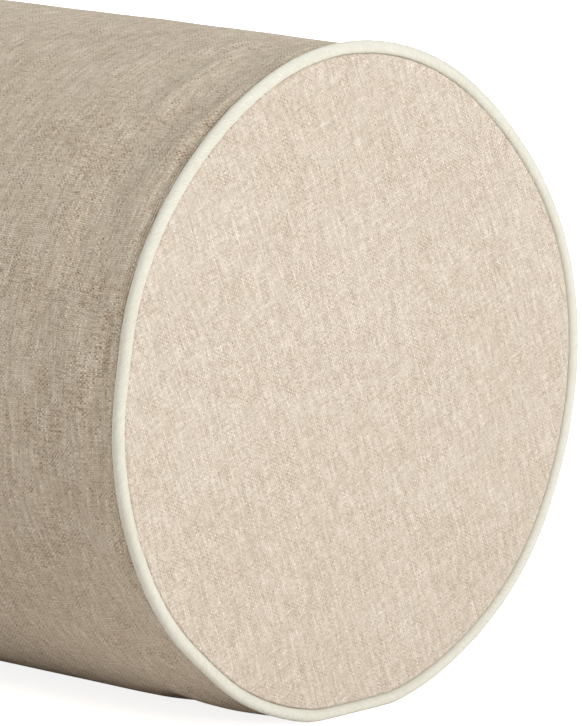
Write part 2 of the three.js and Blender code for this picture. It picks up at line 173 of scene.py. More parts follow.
class Path:
    """A smooth plane path, read by the length along it."""

    STEP = 0.1 * MM

    def __init__(self, corners: Array, softness: float, closed: bool = False) -> None:
        """Rounds a path of straight runs.

        The path is cut into short even steps, and each point becomes the bell-weighted mean of
        its neighbours. An open path is first carried on past its ends by turning it about them.

        Args:
            corners: the corner points, one row each.
            softness: the width of the bell, which rounds the corners.
            closed: whether the last corner joins the first.
        """
        corners = np.asarray(corners, float)
        if closed:
            corners = np.vstack([corners, corners[:1]])
        lengths = self._lengths(corners)
        count = max(int(lengths[-1] / self.STEP), 8)
        even = np.linspace(0, lengths[-1], count + 1)
        points = np.stack([np.interp(even, lengths, column) for column in corners.T], axis=1)
        reach = min(int(3 * softness / self.STEP), count - 1)
        if reach > 0:
            kernel = bell(np.arange(-reach, reach + 1) * self.STEP, softness)
            kernel /= kernel.sum()
            before, after = points[-reach - 1 : -1], points[1 : reach + 1]
            if not closed:
                before = 2 * points[0] - points[reach:0:-1]
                after = 2 * points[-1] - points[-2 : -reach - 2 : -1]
            padded = np.vstack([before, points, after])
            points = np.stack([np.convolve(column, kernel, "valid") for column in padded.T], axis=1)
        self.points = points
        self.lengths = self._lengths(points)
        self.length = float(self.lengths[-1])

    @staticmethod
    def _lengths(points: Array) -> Array:
        """The length along the path at each point."""
        return np.concatenate([[0.0], np.cumsum(np.linalg.norm(np.diff(points, axis=0), axis=1))])

    def at(self, stations: Array) -> Array:
        """The points at some lengths along the path."""
        return np.stack([np.interp(stations, self.lengths, c) for c in self.points.T], axis=1)

    def normal(self, stations: Array) -> Array:
        """The unit vectors to the left of travel at some lengths along the path.

        Args:
            stations: lengths along the path.

        Returns:
            One vector for each.
        """
        run = self.at(np.clip(stations + self.STEP, 0, self.length))
        run -= self.at(np.clip(stations - self.STEP, 0, self.length))
        left = np.stack([-run[:, 1], run[:, 0]], axis=1)
        return left / np.linalg.norm(left, axis=1, keepdims=True)


class Surface:
    """Gathers grids of points into one mesh."""

    CLOTH_MAP = "Cloth"

    def __init__(self) -> None:
        """Starts with nothing in it."""
        self.count = 0
        self.points: list[Array] = []
        self.quads: list[Array] = []
        self.fans: list[Array] = []
        self.quad_cloth: list[Array] = []
        self.fan_cloth: list[Array] = []

    def grid(
        self,
        points: Array,
        round_rows: bool = False,
        round_columns: bool = False,
        poles: tuple[bool, bool] = (False, False),
        cloth: Optional[Array] = None,
    ) -> "Surface":
        """Adds one grid of points, or a stack of equal grids.

        Args:
            points: rows x columns x 3, or stack x rows x columns x 3.
            round_rows: whether the last row joins the first.
            round_columns: whether the last column joins the first.
            poles: whether the first and the last row close in a fan about their middle.
            cloth: cloth coordinates, with one row or column more where the grid closes.

        Returns:
            This surface.
        """
        stack = points if points.ndim == 4 else points[None]
        layers, rows, columns = stack.shape[:3]
        index = np.arange(layers * rows * columns).reshape(layers, rows, columns) + self.count
        if round_rows:
            index = np.concatenate([index, index[:, :1]], axis=1)
        if round_columns:
            index = np.concatenate([index, index[:, :, :1]], axis=2)
        if cloth is None:
            cloth = np.zeros(index.shape[1:] + (2,))
        cloth = np.broadcast_to(cloth, index.shape + (2,))
        self.points.append(stack.reshape(-1, 3))
        self.count += layers * rows * columns
        self.quads.append(self._corners(index).reshape(-1, 4))
        self.quad_cloth.append(self._corners(cloth).reshape(-1, 4, 2))
        for wanted, row, turn in zip(poles, (0, -1), (1, -1)):
            if wanted:
                ring, ring_cloth = index[:, row, ::turn], cloth[:, row, ::turn]
                self._fan(stack[:, row].mean(axis=1), ring, ring_cloth)
        return self

    def solid(self, points: Array) -> "Surface":
        """Adds a grid whose columns close and whose first and last rows close in fans."""
        return self.grid(points, round_columns=True, poles=(True, True))

    @staticmethod
    def _corners(values: Array) -> Array:
        """The four corners of every cell of a stack of grids, on a new fourth axis."""
        near, far = values[:, :-1], values[:, 1:]
        return np.stack([near[:, :, :-1], far[:, :, :-1], far[:, :, 1:], near[:, :, 1:]], axis=3)

    def _fan(self, middles: Array, ring: Array, ring_cloth: Array) -> None:
        """Closes rings with a point each in their middle.

        Args:
            middles: the point that closes each ring.
            ring: the rings' point numbers.
            ring_cloth: their cloth coordinates.
        """
        poles = np.arange(len(middles)) + self.count
        self.points.append(middles)
        self.count += len(middles)
        middle = np.broadcast_to(poles[:, None], ring[:, 1:].shape)
        middle_cloth = np.broadcast_to(ring_cloth[:, :-1].mean(axis=1)[:, None], ring_cloth[:, 1:].shape)
        self.fans.append(np.stack([ring[:, :-1], ring[:, 1:], middle], axis=-1).reshape(-1, 3))
        corners = np.stack([ring_cloth[:, :-1], ring_cloth[:, 1:], middle_cloth], axis=2)
        self.fan_cloth.append(corners.reshape(-1, 3, 2))

    def build(self, name: str, thickness: float = 0, crease: float = math.pi) -> Piece:
        """Makes the mesh object.

        A closed surface whose volume comes out negative is turned inside out. An open one gets its
        cloth's thickness, half to each side.

        Args:
            name: the piece's name.
            thickness: the cloth's thickness, or 0 for a closed surface.
            crease: edges sharper than this angle stay sharp.

        Returns:
            The object.
        """
        points = np.concatenate(self.points)
        quads = np.concatenate(self.quads)
        fans = np.concatenate(self.fans) if self.fans else np.zeros((0, 3), int)
        quad_cloth = np.concatenate(self.quad_cloth)
        fan_cloth = np.concatenate(self.fan_cloth) if self.fans else np.zeros((0, 3, 2))
        if not thickness and self._volume(points, quads, fans) < 0:
            quads, fans = quads[:, ::-1], fans[:, ::-1]
            quad_cloth, fan_cloth = quad_cloth[:, ::-1], fan_cloth[:, ::-1]
        mesh = bpy.data.meshes.new(name)
        mesh.vertices.add(len(points))
        mesh.vertices.foreach_set("co", points.ravel())
        corners = np.concatenate([quads.ravel(), fans.ravel()]).astype(np.int32)
        mesh.loops.add(len(corners))
        mesh.loops.foreach_set("vertex_index", corners)
        mesh.polygons.add(len(quads) + len(fans))
        starts = np.concatenate([np.arange(len(quads)) * 4, len(quads) * 4 + np.arange(len(fans)) * 3])
        mesh.polygons.foreach_set("loop_start", starts.astype(np.int32))
        mesh.update(calc_edges=True)
        mesh.validate()
        layer = mesh.uv_layers.new(name=self.CLOTH_MAP)
        layer.data.foreach_set("uv", np.concatenate([quad_cloth.ravel(), fan_cloth.ravel()]))
        mesh.shade_smooth()
        if crease < math.pi:
            mesh.set_sharp_from_angle(angle=crease)
        piece = bpy.data.objects.new(name, mesh)
        bpy.context.scene.collection.objects.link(piece)
        if thickness:
            wall = piece.modifiers.new("Cloth thickness", "SOLIDIFY")
            wall.thickness = thickness
            wall.offset = 0
        return piece

    @staticmethod
    def _volume(points: Array, quads: Array, fans: Array) -> float:
        """Six times the volume inside: the sum of each triangle's corners' triple product.

        Args:
            points: the mesh's points.
            quads: its four-cornered faces.
            fans: its triangles.

        Returns:
            The volume, below 0 where the faces point inwards.
        """
        triangles = np.concatenate([quads[:, [0, 1, 2]], quads[:, [0, 2, 3]], fans])
        a, b, c = (points[triangles[:, k]] for k in range(3))
        return float((a * np.cross(b, c)).sum())


def swept(path: Array, section: Array, aside: tuple, closed: bool = False) -> Array:
    """Carries a section along a path.

    Each section point is the path's point plus its first coordinate along the side direction and its
    second along path direction x side. The side is the given vector less its part along the path.

    Args:
        path: points x 3.
        section: points x 2, or path points x section points x 2.
        aside: a direction that is never along the path.
        closed: whether the path's ends join.

    Returns:
        Path points x section points x 3.
    """
    before, after = np.roll(path, 1, axis=0), np.roll(path, -1, axis=0)
    if not closed:
        before[0], after[-1] = path[0], path[-1]
    along = after - before
    along /= np.linalg.norm(along, axis=1, keepdims=True)
    side = np.asarray(aside, float) - along * (along @ np.asarray(aside, float))[:, None]
    side /= np.linalg.norm(side, axis=1, keepdims=True)
    up = np.cross(along, side)
    section = np.broadcast_to(section, (len(path),) + section.shape[-2:])
    return path[:, None] + section[..., :1] * side[:, None] + section[..., 1:] * up[:, None]


def rounded_section(width: float, height: float, corner: float, per_corner: int = 4) -> Array:
    """A rectangle with quarter-round corners, centred on its middle.

    Args:
        width: its width.
        height: its height.
        corner: the corners' radius.
        per_corner: how many points round a corner.

    Returns:
        Points x 2, counterclockwise.
    """
    turn = np.linspace(0, math.pi / 2, per_corner)
    corners = []
    for quarter in range(4):
        signs = [(1, 1), (-1, 1), (-1, -1), (1, -1)][quarter]
        angle = turn + quarter * math.pi / 2
        middle = np.array([signs[0] * (width / 2 - corner), signs[1] * (height / 2 - corner)])
        corners.append(middle + corner * circle(angle))
    return np.concatenate(corners)


def bevelled_plate(outline: Array, low: float, high: float, bevel: float, dome: float = 0) -> Array:
    """A flat plate with round edges, and a top that may be domed.

    Rings of the outline, moved in by the edge's quarter-round, climb from the underside to the top;
    then rings shrunk towards the middle rise by dome * (1 - share^2).

    Args:
        outline: closed plan outline, points x 2.
        low: the underside's height.
        high: the top edge's height.
        bevel: the edge's rounding.
        dome: how far the top's middle stands above its edge.

    Returns:
        Rings x outline points x 3, to be closed with a pole at each end.
    """
    run = np.roll(outline, -1, axis=0) - np.roll(outline, 1, axis=0)
    inward = np.stack([-run[:, 1], run[:, 0]], axis=1)
    inward /= np.linalg.norm(inward, axis=1, keepdims=True)
    middle = outline.mean(axis=0)
    if ((middle - outline) * inward).sum() < 0:
        inward = -inward
    turn = np.linspace(0, math.pi / 2, 4)
    rings = [(bevel * (1 - math.sin(t)), low + bevel * (1 - math.cos(t))) for t in turn]
    rings += [(bevel * (1 - math.cos(t)), high - bevel * (1 - math.sin(t))) for t in turn]
    shells = [np.column_stack([outline + inward * inset, np.full(len(outline), z)]) for inset, z in rings]
    edge = shells[-1][:, :2]
    for share in (0.8, 0.55, 0.3):
        flat = middle + (edge - middle) * share
        shells.append(np.column_stack([flat, np.full(len(flat), high + dome * (1 - share**2))]))
    under = shells[0][:, :2]
    for share in (0.8, 0.4):
        flat = middle + (under - middle) * share
        shells.insert(0, np.column_stack([flat, np.full(len(flat), low)]))
    return np.stack(shells)


def threads(starts: Array, ends: Array, out: Array, radius: float, rise: float) -> Array:
    """Short stitches, each a thread that dips into the cloth at both ends.

    A stitch's middle line is the straight run plus rise * (sin(pi t))^0.5 outwards, and its thickness
    falls off in a half-round at both ends.

    Args:
        starts: stitches x 3.
        ends: stitches x 3.
        out: the cloth's outward direction at each stitch, stitches x 3.
        radius: the thread's radius.
        rise: how far the stitch's middle stands above its ends.

    Returns:
        Stitches x 7 x 6 x 3.
    """
    t = np.linspace(0, 1, 7)[None, :, None]
    arch = np.sqrt(np.sin(math.pi * np.clip(t, 0.001, 0.999)))
    line = starts[:, None] * (1 - t) + ends[:, None] * t + out[:, None] * rise * arch
    along = (ends - starts) / np.linalg.norm(ends - starts, axis=1, keepdims=True)
    across = np.cross(along, out)
    angle = np.arange(6) * TAU / 6
    ring = across[:, None, None] * np.cos(angle)[:, None] + out[:, None, None] * np.sin(angle)[:, None]
    thickness = radius * np.sqrt(1 - 0.93 * (2 * t - 1) ** 4)
    return line[:, :, None] + ring * thickness[..., None]


@dataclass(frozen=True)
class Field:
    """Values on a grid of rows and angles, read anywhere between them.

    Attributes:
        rows: each row's place, rising.
        values: rows x columns, with the columns spaced evenly round the bolster from angle 0.
    """

    rows: Array
    values: Array

    def at(self, row: Array, angle: Array) -> Array:
        """Reads between the four nearest values in proportion to their distance.

        Args:
            row: places among the rows.
            angle: angles round the bolster.

        Returns:
            The values there.
        """
        columns = self.values.shape[1]
        lower = np.clip(np.searchsorted(self.rows, row) - 1, 0, len(self.rows) - 2)
        gap = self.rows[lower + 1] - self.rows[lower]
        down = np.clip((row - self.rows[lower]) / gap, 0, 1)
        turn = (angle % TAU) / TAU * columns
        left = np.floor(turn).astype(int) % columns
        across = turn - np.floor(turn)
        right = (left + 1) % columns
        first = self.values[lower, left] * (1 - across) + self.values[lower, right] * across
        second = self.values[lower + 1, left] * (1 - across) + self.values[lower + 1, right] * across
        return first * (1 - down) + second * down


# ---- The bolster's form, shared by every layer ----


@dataclass(frozen=True)
class Form:
    """The sizes that every layer is drawn from.

    Attributes:
        radius: the cover's outside radius.
        axis_height: how high the axis lies above the floor.
        seam_x: where the piped seams lie, left and right of the middle.
        core_radius: the foam core's radius.
        core_half: half of the foam core's length.
        liner_radius: the insert's outside radius.
        liner_half: half of the insert's length at its rim.
        zip_angle: the angle at which the zip lies.
    """

    radius: float
    axis_height: float
    seam_x: float
    core_radius: float
    core_half: float
    liner_radius: float
    liner_half: float
    zip_angle: float
    crown: float = 3 * MM
    cloth: float = 0.8 * MM
    piping_cloth: float = 0.5 * MM
    piping_radius: float = 2.15 * MM
    piping_inset: float = 0.43 * MM
    allowance: float = 6 * MM
    touch: float = 0.05 * MM
    zip_flat: float = 109.9 * MM
    liner_corner: float = 20 * MM

    @classmethod
    def from_frame(cls) -> "Form":
        """Works the sizes out from the frame's nodes and joints.

        Returns:
            The form.
        """
        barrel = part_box("barrel_panel")[1]
        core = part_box("foam_core")[1]
        hinge = next(joint for joint in frame["joints"] if joint["name"] == "pull_hinge")
        return cls(
            radius=barrel.y,
            axis_height=barrel.z - barrel.y,
            seam_x=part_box("end_panel_right")[1].x - cls.crown,
            core_radius=core.y,
            core_half=core.x,
            liner_radius=-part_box("liner_tube")[0].y,
            liner_half=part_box("liner_tube")[1].x,
            zip_angle=math.asin(-hinge["axis"][1]),
        )

    @property
    def seam_radius(self) -> float:
        """The radius of the seam's outer corner."""
        return self.radius - self.piping_radius + self.piping_inset

    @property
    def piping_ring(self) -> float:
        """The radius of the ring that the piping's middle follows."""
        return self.seam_radius - self.piping_inset

    def crowned(self, radius: Array) -> Array:
        """How far an end bulges at a radius: crown * (1 - (radius / seam radius)^2)."""
        return self.crown * (1 - (radius / self.seam_radius) ** 2)

    def _into_seam(self, radius: float, offset: float) -> tuple[float, Array]:
        """Where a cloth leaves its bend round the piping, and where its allowance ends.

        Args:
            radius: the bend's radius about the piping's middle.
            offset: how far the cloth lies from the seam's diagonal.

        Returns:
            The angle at which it leaves, and the end point.
        """
        angle = DIAGONAL - math.asin(offset / radius)
        run = self.piping_radius + self.allowance - math.sqrt(radius**2 - offset**2)
        start = self._round_piping(radius, np.array([angle]))[0]
        return angle, start + run * np.array([math.cos(DIAGONAL), math.sin(DIAGONAL)])

    def _round_piping(self, radius: float, angle: Array) -> Array:
        """Points on a circle about the piping's middle, from the seam's outer corner."""
        return radius * circle(angle) - self.piping_inset

    def turned_edge(self, rise: float = 0) -> Array:
        """The cover cloth's middle line at a seam, as (along the panel, out of it).

        Args:
            rise: how far the panel swells above its plane where it meets the piping.

        Returns:
            The points, from the panel to the end of the seam allowance.
        """
        radius = self.piping_radius + self.touch + self.cloth / 2
        offset = 1.5 * self.touch + self.piping_cloth + self.cloth / 2
        first = math.pi - math.asin((self.piping_inset - self.cloth / 2 + rise) / radius)
        last, end = self._into_seam(radius, offset)
        return np.vstack([self._round_piping(radius, np.linspace(first, last, 6)), end])

    def bias_strip(self) -> Array:
        """The piping cloth's middle line: up one allowance, round its filler and down the other.

        Returns:
            The points, as (along the panel, out of it).
        """
        radius = self.piping_radius - self.piping_cloth / 2
        offset = (self.touch + self.piping_cloth) / 2
        first, start = self._into_seam(radius, offset)
        last, end = self._into_seam(radius, -offset)
        around = self._round_piping(radius, np.linspace(first, last - TAU, 40))
        return np.vstack([start, around, end])

    def settle(self, points: Array, behind_zip: bool = False) -> Array:
        """Lets the layers give, and lifts them from the axis to their height above the floor.

        A flat at a distance from the axis presses every point inwards by how deep it cuts into the
        round there: in full at the outside, and not at all at the foam core, which is firm.

        Args:
            points: points about the bolster's axis.
            behind_zip: whether the layer also lies flat behind the zip.

        Returns:
            Points in the frame.
        """
        if behind_zip:
            points = self._pressed(points, self.liner_radius, self.zip_flat, self.zip_angle)
        points = self._pressed(points, self.radius, self.axis_height, -math.pi / 2)
        points[..., 2] = np.maximum(points[..., 2] + self.axis_height, self.cloth / 2)
        return points

    def _pressed(self, points: Array, outer: float, distance: float, facing: float) -> Array:
        """Presses points behind a flat that faces an angle, with a soft start to the flat.

        Args:
            points: points about the bolster's axis.
            outer: the radius at which the flat presses in full.
            distance: how far the flat lies from the axis.
            facing: the angle that it faces.

        Returns:
            The pressed points.
        """
        radius = np.maximum(np.hypot(points[..., 1], points[..., 2]), 1e-6)
        cosine = np.cos(np.arctan2(points[..., 2], points[..., 1]) - facing)
        depth = outer - distance / np.maximum(cosine, 0.2)
        depth = (depth + np.sqrt(depth**2 + (0.45 * MM) ** 2)) / 2
        share = np.clip((radius - self.core_radius) / (outer - self.core_radius), 0, 1)
        scale = 1 - depth * share / radius
        return points * np.stack([np.ones_like(scale), scale, scale], axis=-1)


def turned(x: Array, radius: Array, angle: Array) -> Array:
    """Points at a place along the axis, a radius from it and an angle round it."""
    x, radius, angle = np.broadcast_arrays(x, radius, angle)
    return np.stack([x, radius * np.cos(angle), radius * np.sin(angle)], axis=-1)


@dataclass(frozen=True)
class SeamLine:
    """How a hand-fed piped seam wanders from a true circle.

    Attributes:
        out: bumps away from the axis, each (angle in degrees, width in degrees, size in mm).
        along: bumps towards the near end of the bolster, in the same form.
    """

    out: tuple[tuple[float, float, float], ...]
    along: tuple[tuple[float, float, float], ...]

    @staticmethod
    def _sum(bumps: tuple[tuple[float, float, float], ...], angle: Array) -> Array:
        """Adds a bell curve of the angle for each bump.

        Args:
            bumps: the bumps.
            angle: angles round the bolster.

        Returns:
            Their sum at each angle.
        """
        total = np.zeros_like(angle)
        for middle, width, size in bumps:
            away = angle - math.radians(middle)
            away = np.arctan2(np.sin(away), np.cos(away))
            total += size * MM * bell(away, math.radians(width))
        return total

    def outwards(self, angle: Array) -> Array:
        """How far the seam stands out at an angle."""
        return self._sum(self.out, angle)

    def lengthwise(self, angle: Array) -> Array:
        """How far the seam lies towards its own end at an angle."""
        return self._sum(self.along, angle)


@dataclass(frozen=True)
class Give:
    """Every small way in which the sewn cover departs from its ideal form.

    Attributes:
        form: the ideal form.
        seams: the two seams' wander.
        barrel: how far the blown-out barrel cloth stands out, by x and angle.
        ends: how far each blown-out end stands out, by radius and angle.
    """

    form: Form
    seams: dict[Side, SeamLine]
    barrel: Field
    ends: dict[Side, Field]

    def wandered(self, x: Array, radius: Array, angle: Array) -> tuple[Array, Array]:
        """Lets a ring of the cover follow its seam, less and less away from it.

        Args:
            x: places along the axis.
            radius: radii.
            angle: angles.

        Returns:
            The moved places and radii.
        """
        x, radius, angle = np.broadcast_arrays(x, radius, angle)
        along_reach, inward_reach = 15 * MM, 30 * MM
        moved_x, moved_radius = x.copy(), radius.copy()
        for side in (Side.RIGHT, Side.LEFT):
            near = np.abs(side.value * x - self.form.seam_x) / along_reach
            inner = np.maximum(self.form.piping_ring - radius, 0) / inward_reach
            share = np.exp(-(near**2) - inner**2)
            moved_radius = moved_radius + share * self.seams[side].outwards(angle)
            moved_x = moved_x + share * side.value * self.seams[side].lengthwise(angle)
        return moved_x, moved_radius

    def puckers(self, distance: Array, angle: Array, seed: int) -> Array:
        """Small gathers that a piped seam draws into the cloth beside it.

        Ripples round the ring, times distance / peak * exp(1 - distance / peak).

        Args:
            distance: how far from the seam.
            angle: the angle round the bolster.
            seed: picks the ripples.

        Returns:
            How far the cloth stands out.
        """
        peak, size = 6 * MM, 0.26 * MM
        swell = np.maximum(distance, 0) / peak * np.exp(1 - distance / peak)
        broad = 0.6 + 0.4 * ripples(angle, (3, 5, 8), seed + 1)
        return size * swell * broad * ripples(angle, (37, 46, 58, 71), seed)


# ---- The skin, blown out by cloth simulation ----


@dataclass(frozen=True)
class StuffedSkin:
    """The cover's three panels as one closed skin, which cloth simulation fills out.

    Its seams and its zip are held where they are. The cloth is cut a little full, so the filling's
    pressure tightens it unevenly between them.

    Attributes:
        form: the bolster's form.
        seams: the two seams' wander.
        columns: points round the skin.
        frames: how long the filling works.
        fullness: by how much the cloth is cut full.
        pressure: the filling's pressure.
        most: the furthest that a point may move.
    """

    form: Form
    seams: dict[Side, SeamLine]
    columns: int = 180
    frames: int = 20
    fullness: float = 0.012
    pressure: float = 4.0
    most: float = 1.2 * MM

    def at_rest(self) -> Give:
        """The cover's give without the simulation."""
        still = Field(np.array([-1.0, 1.0]), np.zeros((2, 4)))
        return Give(self.form, self.seams, still, {Side.RIGHT: still, Side.LEFT: still})

    def blown_out(self) -> Give:
        """Fills the skin and reads how unevenly it stands out.

        Returns:
            The cover's give.
        """
        x, radii, angle = self._stations()
        rest = self.at_rest()
        grids = {"barrel": turned(*rest.wandered(x[:, None], self.form.seam_radius, angle), angle)}
        for side in (Side.RIGHT, Side.LEFT):
            face = side.value * (self.form.seam_x + self.form.crowned(radii[:, None]))
            grids[side] = turned(*rest.wandered(face, radii[:, None], angle), angle)
        start = np.concatenate([grid.reshape(-1, 3) for grid in grids.values()])
        rng = np.random.default_rng(11)
        start = start * (1 + rng.normal(0, 0.0004, (len(start), 1)))
        moved = self._simulated(start, x, angle, len(radii)) - start
        sizes = np.cumsum([grid.shape[0] * grid.shape[1] for grid in grids.values()])
        barrel, right, left = (part.reshape(-1, len(angle), 3) for part in np.split(moved, sizes)[:3])
        out = barrel[..., 1] * np.cos(angle) + barrel[..., 2] * np.sin(angle)
        ends = {
            Side.RIGHT: Field(radii[::-1], self._evened(right[::-1, :, 0])),
            Side.LEFT: Field(radii[::-1], self._evened(-left[::-1, :, 0])),
        }
        return Give(self.form, self.seams, Field(x, self._evened(out)), ends)

    def _stations(self) -> tuple[Array, Array, Array]:
        """The skin's places along the axis, its ends' radii and its angles.

        Returns:
            The places, the radii from the rim inwards, and the angles.
        """
        edge = self.form.seam_x
        x = graded(lambda at: table(edge - np.abs(at), (0, 30, 200), (3, 6, 16)), -edge, edge)
        radii = graded(lambda at: 4 * MM + at * 0.03, 4 * MM, self.form.seam_radius)[::-1]
        return x, radii, np.arange(self.columns) * TAU / self.columns

    def _simulated(self, start: Array, x: Array, angle: Array, rings: int) -> Array:
        """Runs the cloth simulation.

        Args:
            start: the skin's points: the barrel, then the right and the left end.
            x: the barrel rows' places.
            angle: the columns' angles.
            rings: the number of rings in each end.

        Returns:
            The points at the end of the simulation.
        """
        columns = len(angle)
        barrel = len(x) * columns
        surface = Surface()
        surface.grid(start[:barrel].reshape(len(x), columns, 3), round_columns=True)
        for part in (start[barrel : barrel + rings * columns], start[barrel + rings * columns :]):
            surface.grid(part.reshape(rings, columns, 3), round_columns=True, poles=(False, True))
        skin = surface.build("stuffed_skin", crease=math.pi)
        away = np.arctan2(np.sin(angle - self.form.zip_angle), np.cos(angle - self.form.zip_angle))
        held = np.zeros((len(x), columns), bool)
        held[:, np.abs(away) < math.radians(6)] = True
        held[[0, -1]] = True
        pinned = skin.vertex_groups.new(name="sewn")
        rims = barrel + np.concatenate([np.arange(columns), rings * columns + 1 + np.arange(columns)])
        pinned.add([int(i) for i in np.concatenate([np.flatnonzero(held), rims])], 1.0, "REPLACE")
        settings = skin.modifiers.new("Cloth", "CLOTH").settings
        settings.quality = 6
        settings.mass = 0.3
        settings.tension_stiffness = settings.compression_stiffness = 25
        settings.shear_stiffness = 8
        settings.bending_stiffness = 0.4
        settings.use_pressure = True
        settings.uniform_pressure_force = self.pressure
        settings.shrink_min = -self.fullness
        settings.effector_weights.gravity = 0
        settings.vertex_group_mass = pinned.name
        scene = bpy.context.scene
        for number in range(1, self.frames + 1):
            scene.frame_set(number)
        shaped = skin.evaluated_get(bpy.context.evaluated_depsgraph_get()).data
        points = np.empty(len(shaped.vertices) * 3)
        shaped.vertices.foreach_get("co", points)
        points = points.reshape(-1, 3)
        scene.frame_set(1)
        bpy.data.objects.remove(skin)
        end = rings * columns
        return np.concatenate([points[:barrel], points[barrel : barrel + end], points[barrel + end + 1 : -1]])

    def _evened(self, out: Array) -> Array:
        """Leaves only the unevenness round each ring, eases it and caps it.

        Args:
            out: how far each point stands out, ring by ring.

        Returns:
            What is left of it.
        """
        uneven = out - out.mean(axis=1, keepdims=True)
        smooth = (np.roll(uneven, 1, axis=1) + 2 * uneven + np.roll(uneven, -1, axis=1)) / 4
        return self.most * np.tanh(smooth / self.most)


# ---- Finishes ----


def screen(red: int, green: int, blue: int) -> Rgba:
    """Turns a colour as seen on a screen into linear light.

    Args:
        red: how red it is, 0 to 255.
        green: how green it is.
        blue: how blue it is.

    Returns:
        The linear colour, with nothing let through.
    """
    shares = np.array([red, green, blue]) / 255
    linear = np.where(shares <= 0.04045, shares / 12.92, ((shares + 0.055) / 1.055) ** 2.4)
    return (*linear.tolist(), 1.0)


class Value:
    """What a node's socket puts out, written into sums with the usual signs."""

    def __init__(self, graph: "Graph", socket: Socket) -> None:
        """Takes the socket and the graph that it belongs to."""
        self.graph, self.socket = graph, socket

    def __add__(self, other: Feed) -> "Value":
        """Adds."""
        return self.graph.math("ADD", self, other)

    def __mul__(self, other: Feed) -> "Value":
        """Multiplies."""
        return self.graph.math("MULTIPLY", self, other)

    def __sub__(self, other: Feed) -> "Value":
        """Takes away."""
        return self.graph.math("SUBTRACT", self, other)

    def __rsub__(self, other: Feed) -> "Value":
        """Takes this from another value."""
        return self.graph.math("SUBTRACT", other, self)

    def __truediv__(self, other: Feed) -> "Value":
        """Divides."""
        return self.graph.math("DIVIDE", self, other)

    def __pow__(self, other: Feed) -> "Value":
        """Raises to a power."""
        return self.graph.math("POWER", self, other)

    def __abs__(self) -> "Value":
        """Drops the sign."""
        return self.graph.math("ABSOLUTE", self)


class Graph:
    """Adds nodes to one node tree and wires them up."""

    def __init__(self, tree: NodeTree) -> None:
        """Works on a tree."""
        self.tree = tree

    def feed(self, socket: Socket, value: Feed) -> None:
        """Joins a socket to another, or sets its value.

        Args:
            socket: the socket that takes the value.
            value: another socket's value, or a number or colour.
        """
        source = value.socket if isinstance(value, Value) else value
        if isinstance(source, Socket):
            self.tree.links.new(source, socket)
        else:
            socket.default_value = source

    def add(self, kind: str, inputs: Optional[dict] = None, **settings: object) -> Node:
        """Adds a node.

        Args:
            kind: the node's type, less its ShaderNode prefix.
            inputs: what goes into its sockets, by name or number.
            settings: its other settings.

        Returns:
            The node.
        """
        node = self.tree.nodes.new("ShaderNode" + kind)
        for key, value in settings.items():
            setattr(node, key, value)
        for key, value in (inputs or {}).items():
            self.feed(node.inputs[key], value)
        return node

    def value(
        self, kind: str, inputs: Optional[dict] = None, output: Union[int, str] = 0, **settings: object
    ) -> Value:
        """Adds a node and takes one of its outputs."""
        return Value(self, self.add(kind, inputs, **settings).outputs[output])

    def effect(self, group: NodeTree, inputs: dict[str, Feed]) -> dict[str, Value]:
        """Places a shared effect.

        Args:
            group: the effect's node group.
            inputs: what goes into it.

        Returns:
            Its outputs, by name.
        """
        node = self.add("Group", inputs, node_tree=group)
        return {socket.name: Value(self, socket) for socket in node.outputs}

    def math(self, operation: str, *values: Feed, clamp: bool = False) -> Value:
        """Works out one sum."""
        return self.value("Math", dict(enumerate(values)), operation=operation, use_clamp=clamp)

    def greatest(self, first: Feed, *others: Feed) -> Value:
        """The greatest of several values."""
        return reduce(lambda best, other: self.math("MAXIMUM", best, other), others, first)

    def eased(self, value: Feed, low: float, high: float, start: float = 0, end: float = 1) -> Value:
        """Goes smoothly from start to end as a value goes from low to high."""
        inputs = {0: value, 1: low, 2: high, 3: start, 4: end}
        return self.value("MapRange", inputs, interpolation_type="SMOOTHSTEP")

    def parts(self, vector: Feed) -> tuple[Value, Value, Value]:
        """A vector's three parts."""
        node = self.add("SeparateXYZ", {0: vector})
        return tuple(Value(self, socket) for socket in node.outputs)

    def join(self, x: Feed, y: Feed, z: Feed = 0.0) -> Value:
        """Makes a vector."""
        return self.value("CombineXYZ", {0: x, 1: y, 2: z})

    def mix(self, share: Feed, first: Feed, second: Feed, blend: str = "MIX") -> Value:
        """Mixes two colours."""
        return self.value("Mix", {0: share, 6: first, 7: second}, 2, data_type="RGBA", blend_type=blend)

    def noise(self, vector: Feed, scale: Feed, detail: float = 2, flat: bool = False) -> Value:
        """Smooth noise of about 0.5, in the plane or in space."""
        inputs = {"Vector": vector, "Scale": scale, "Detail": detail}
        return self.value("TexNoise", inputs, noise_dimensions="2D" if flat else "3D")

    def chance(self, x: Feed, y: Feed) -> Value:
        """A random value for each whole-numbered place in the plane."""
        return self.value("TexWhiteNoise", {"Vector": self.join(x, y)}, noise_dimensions="2D")


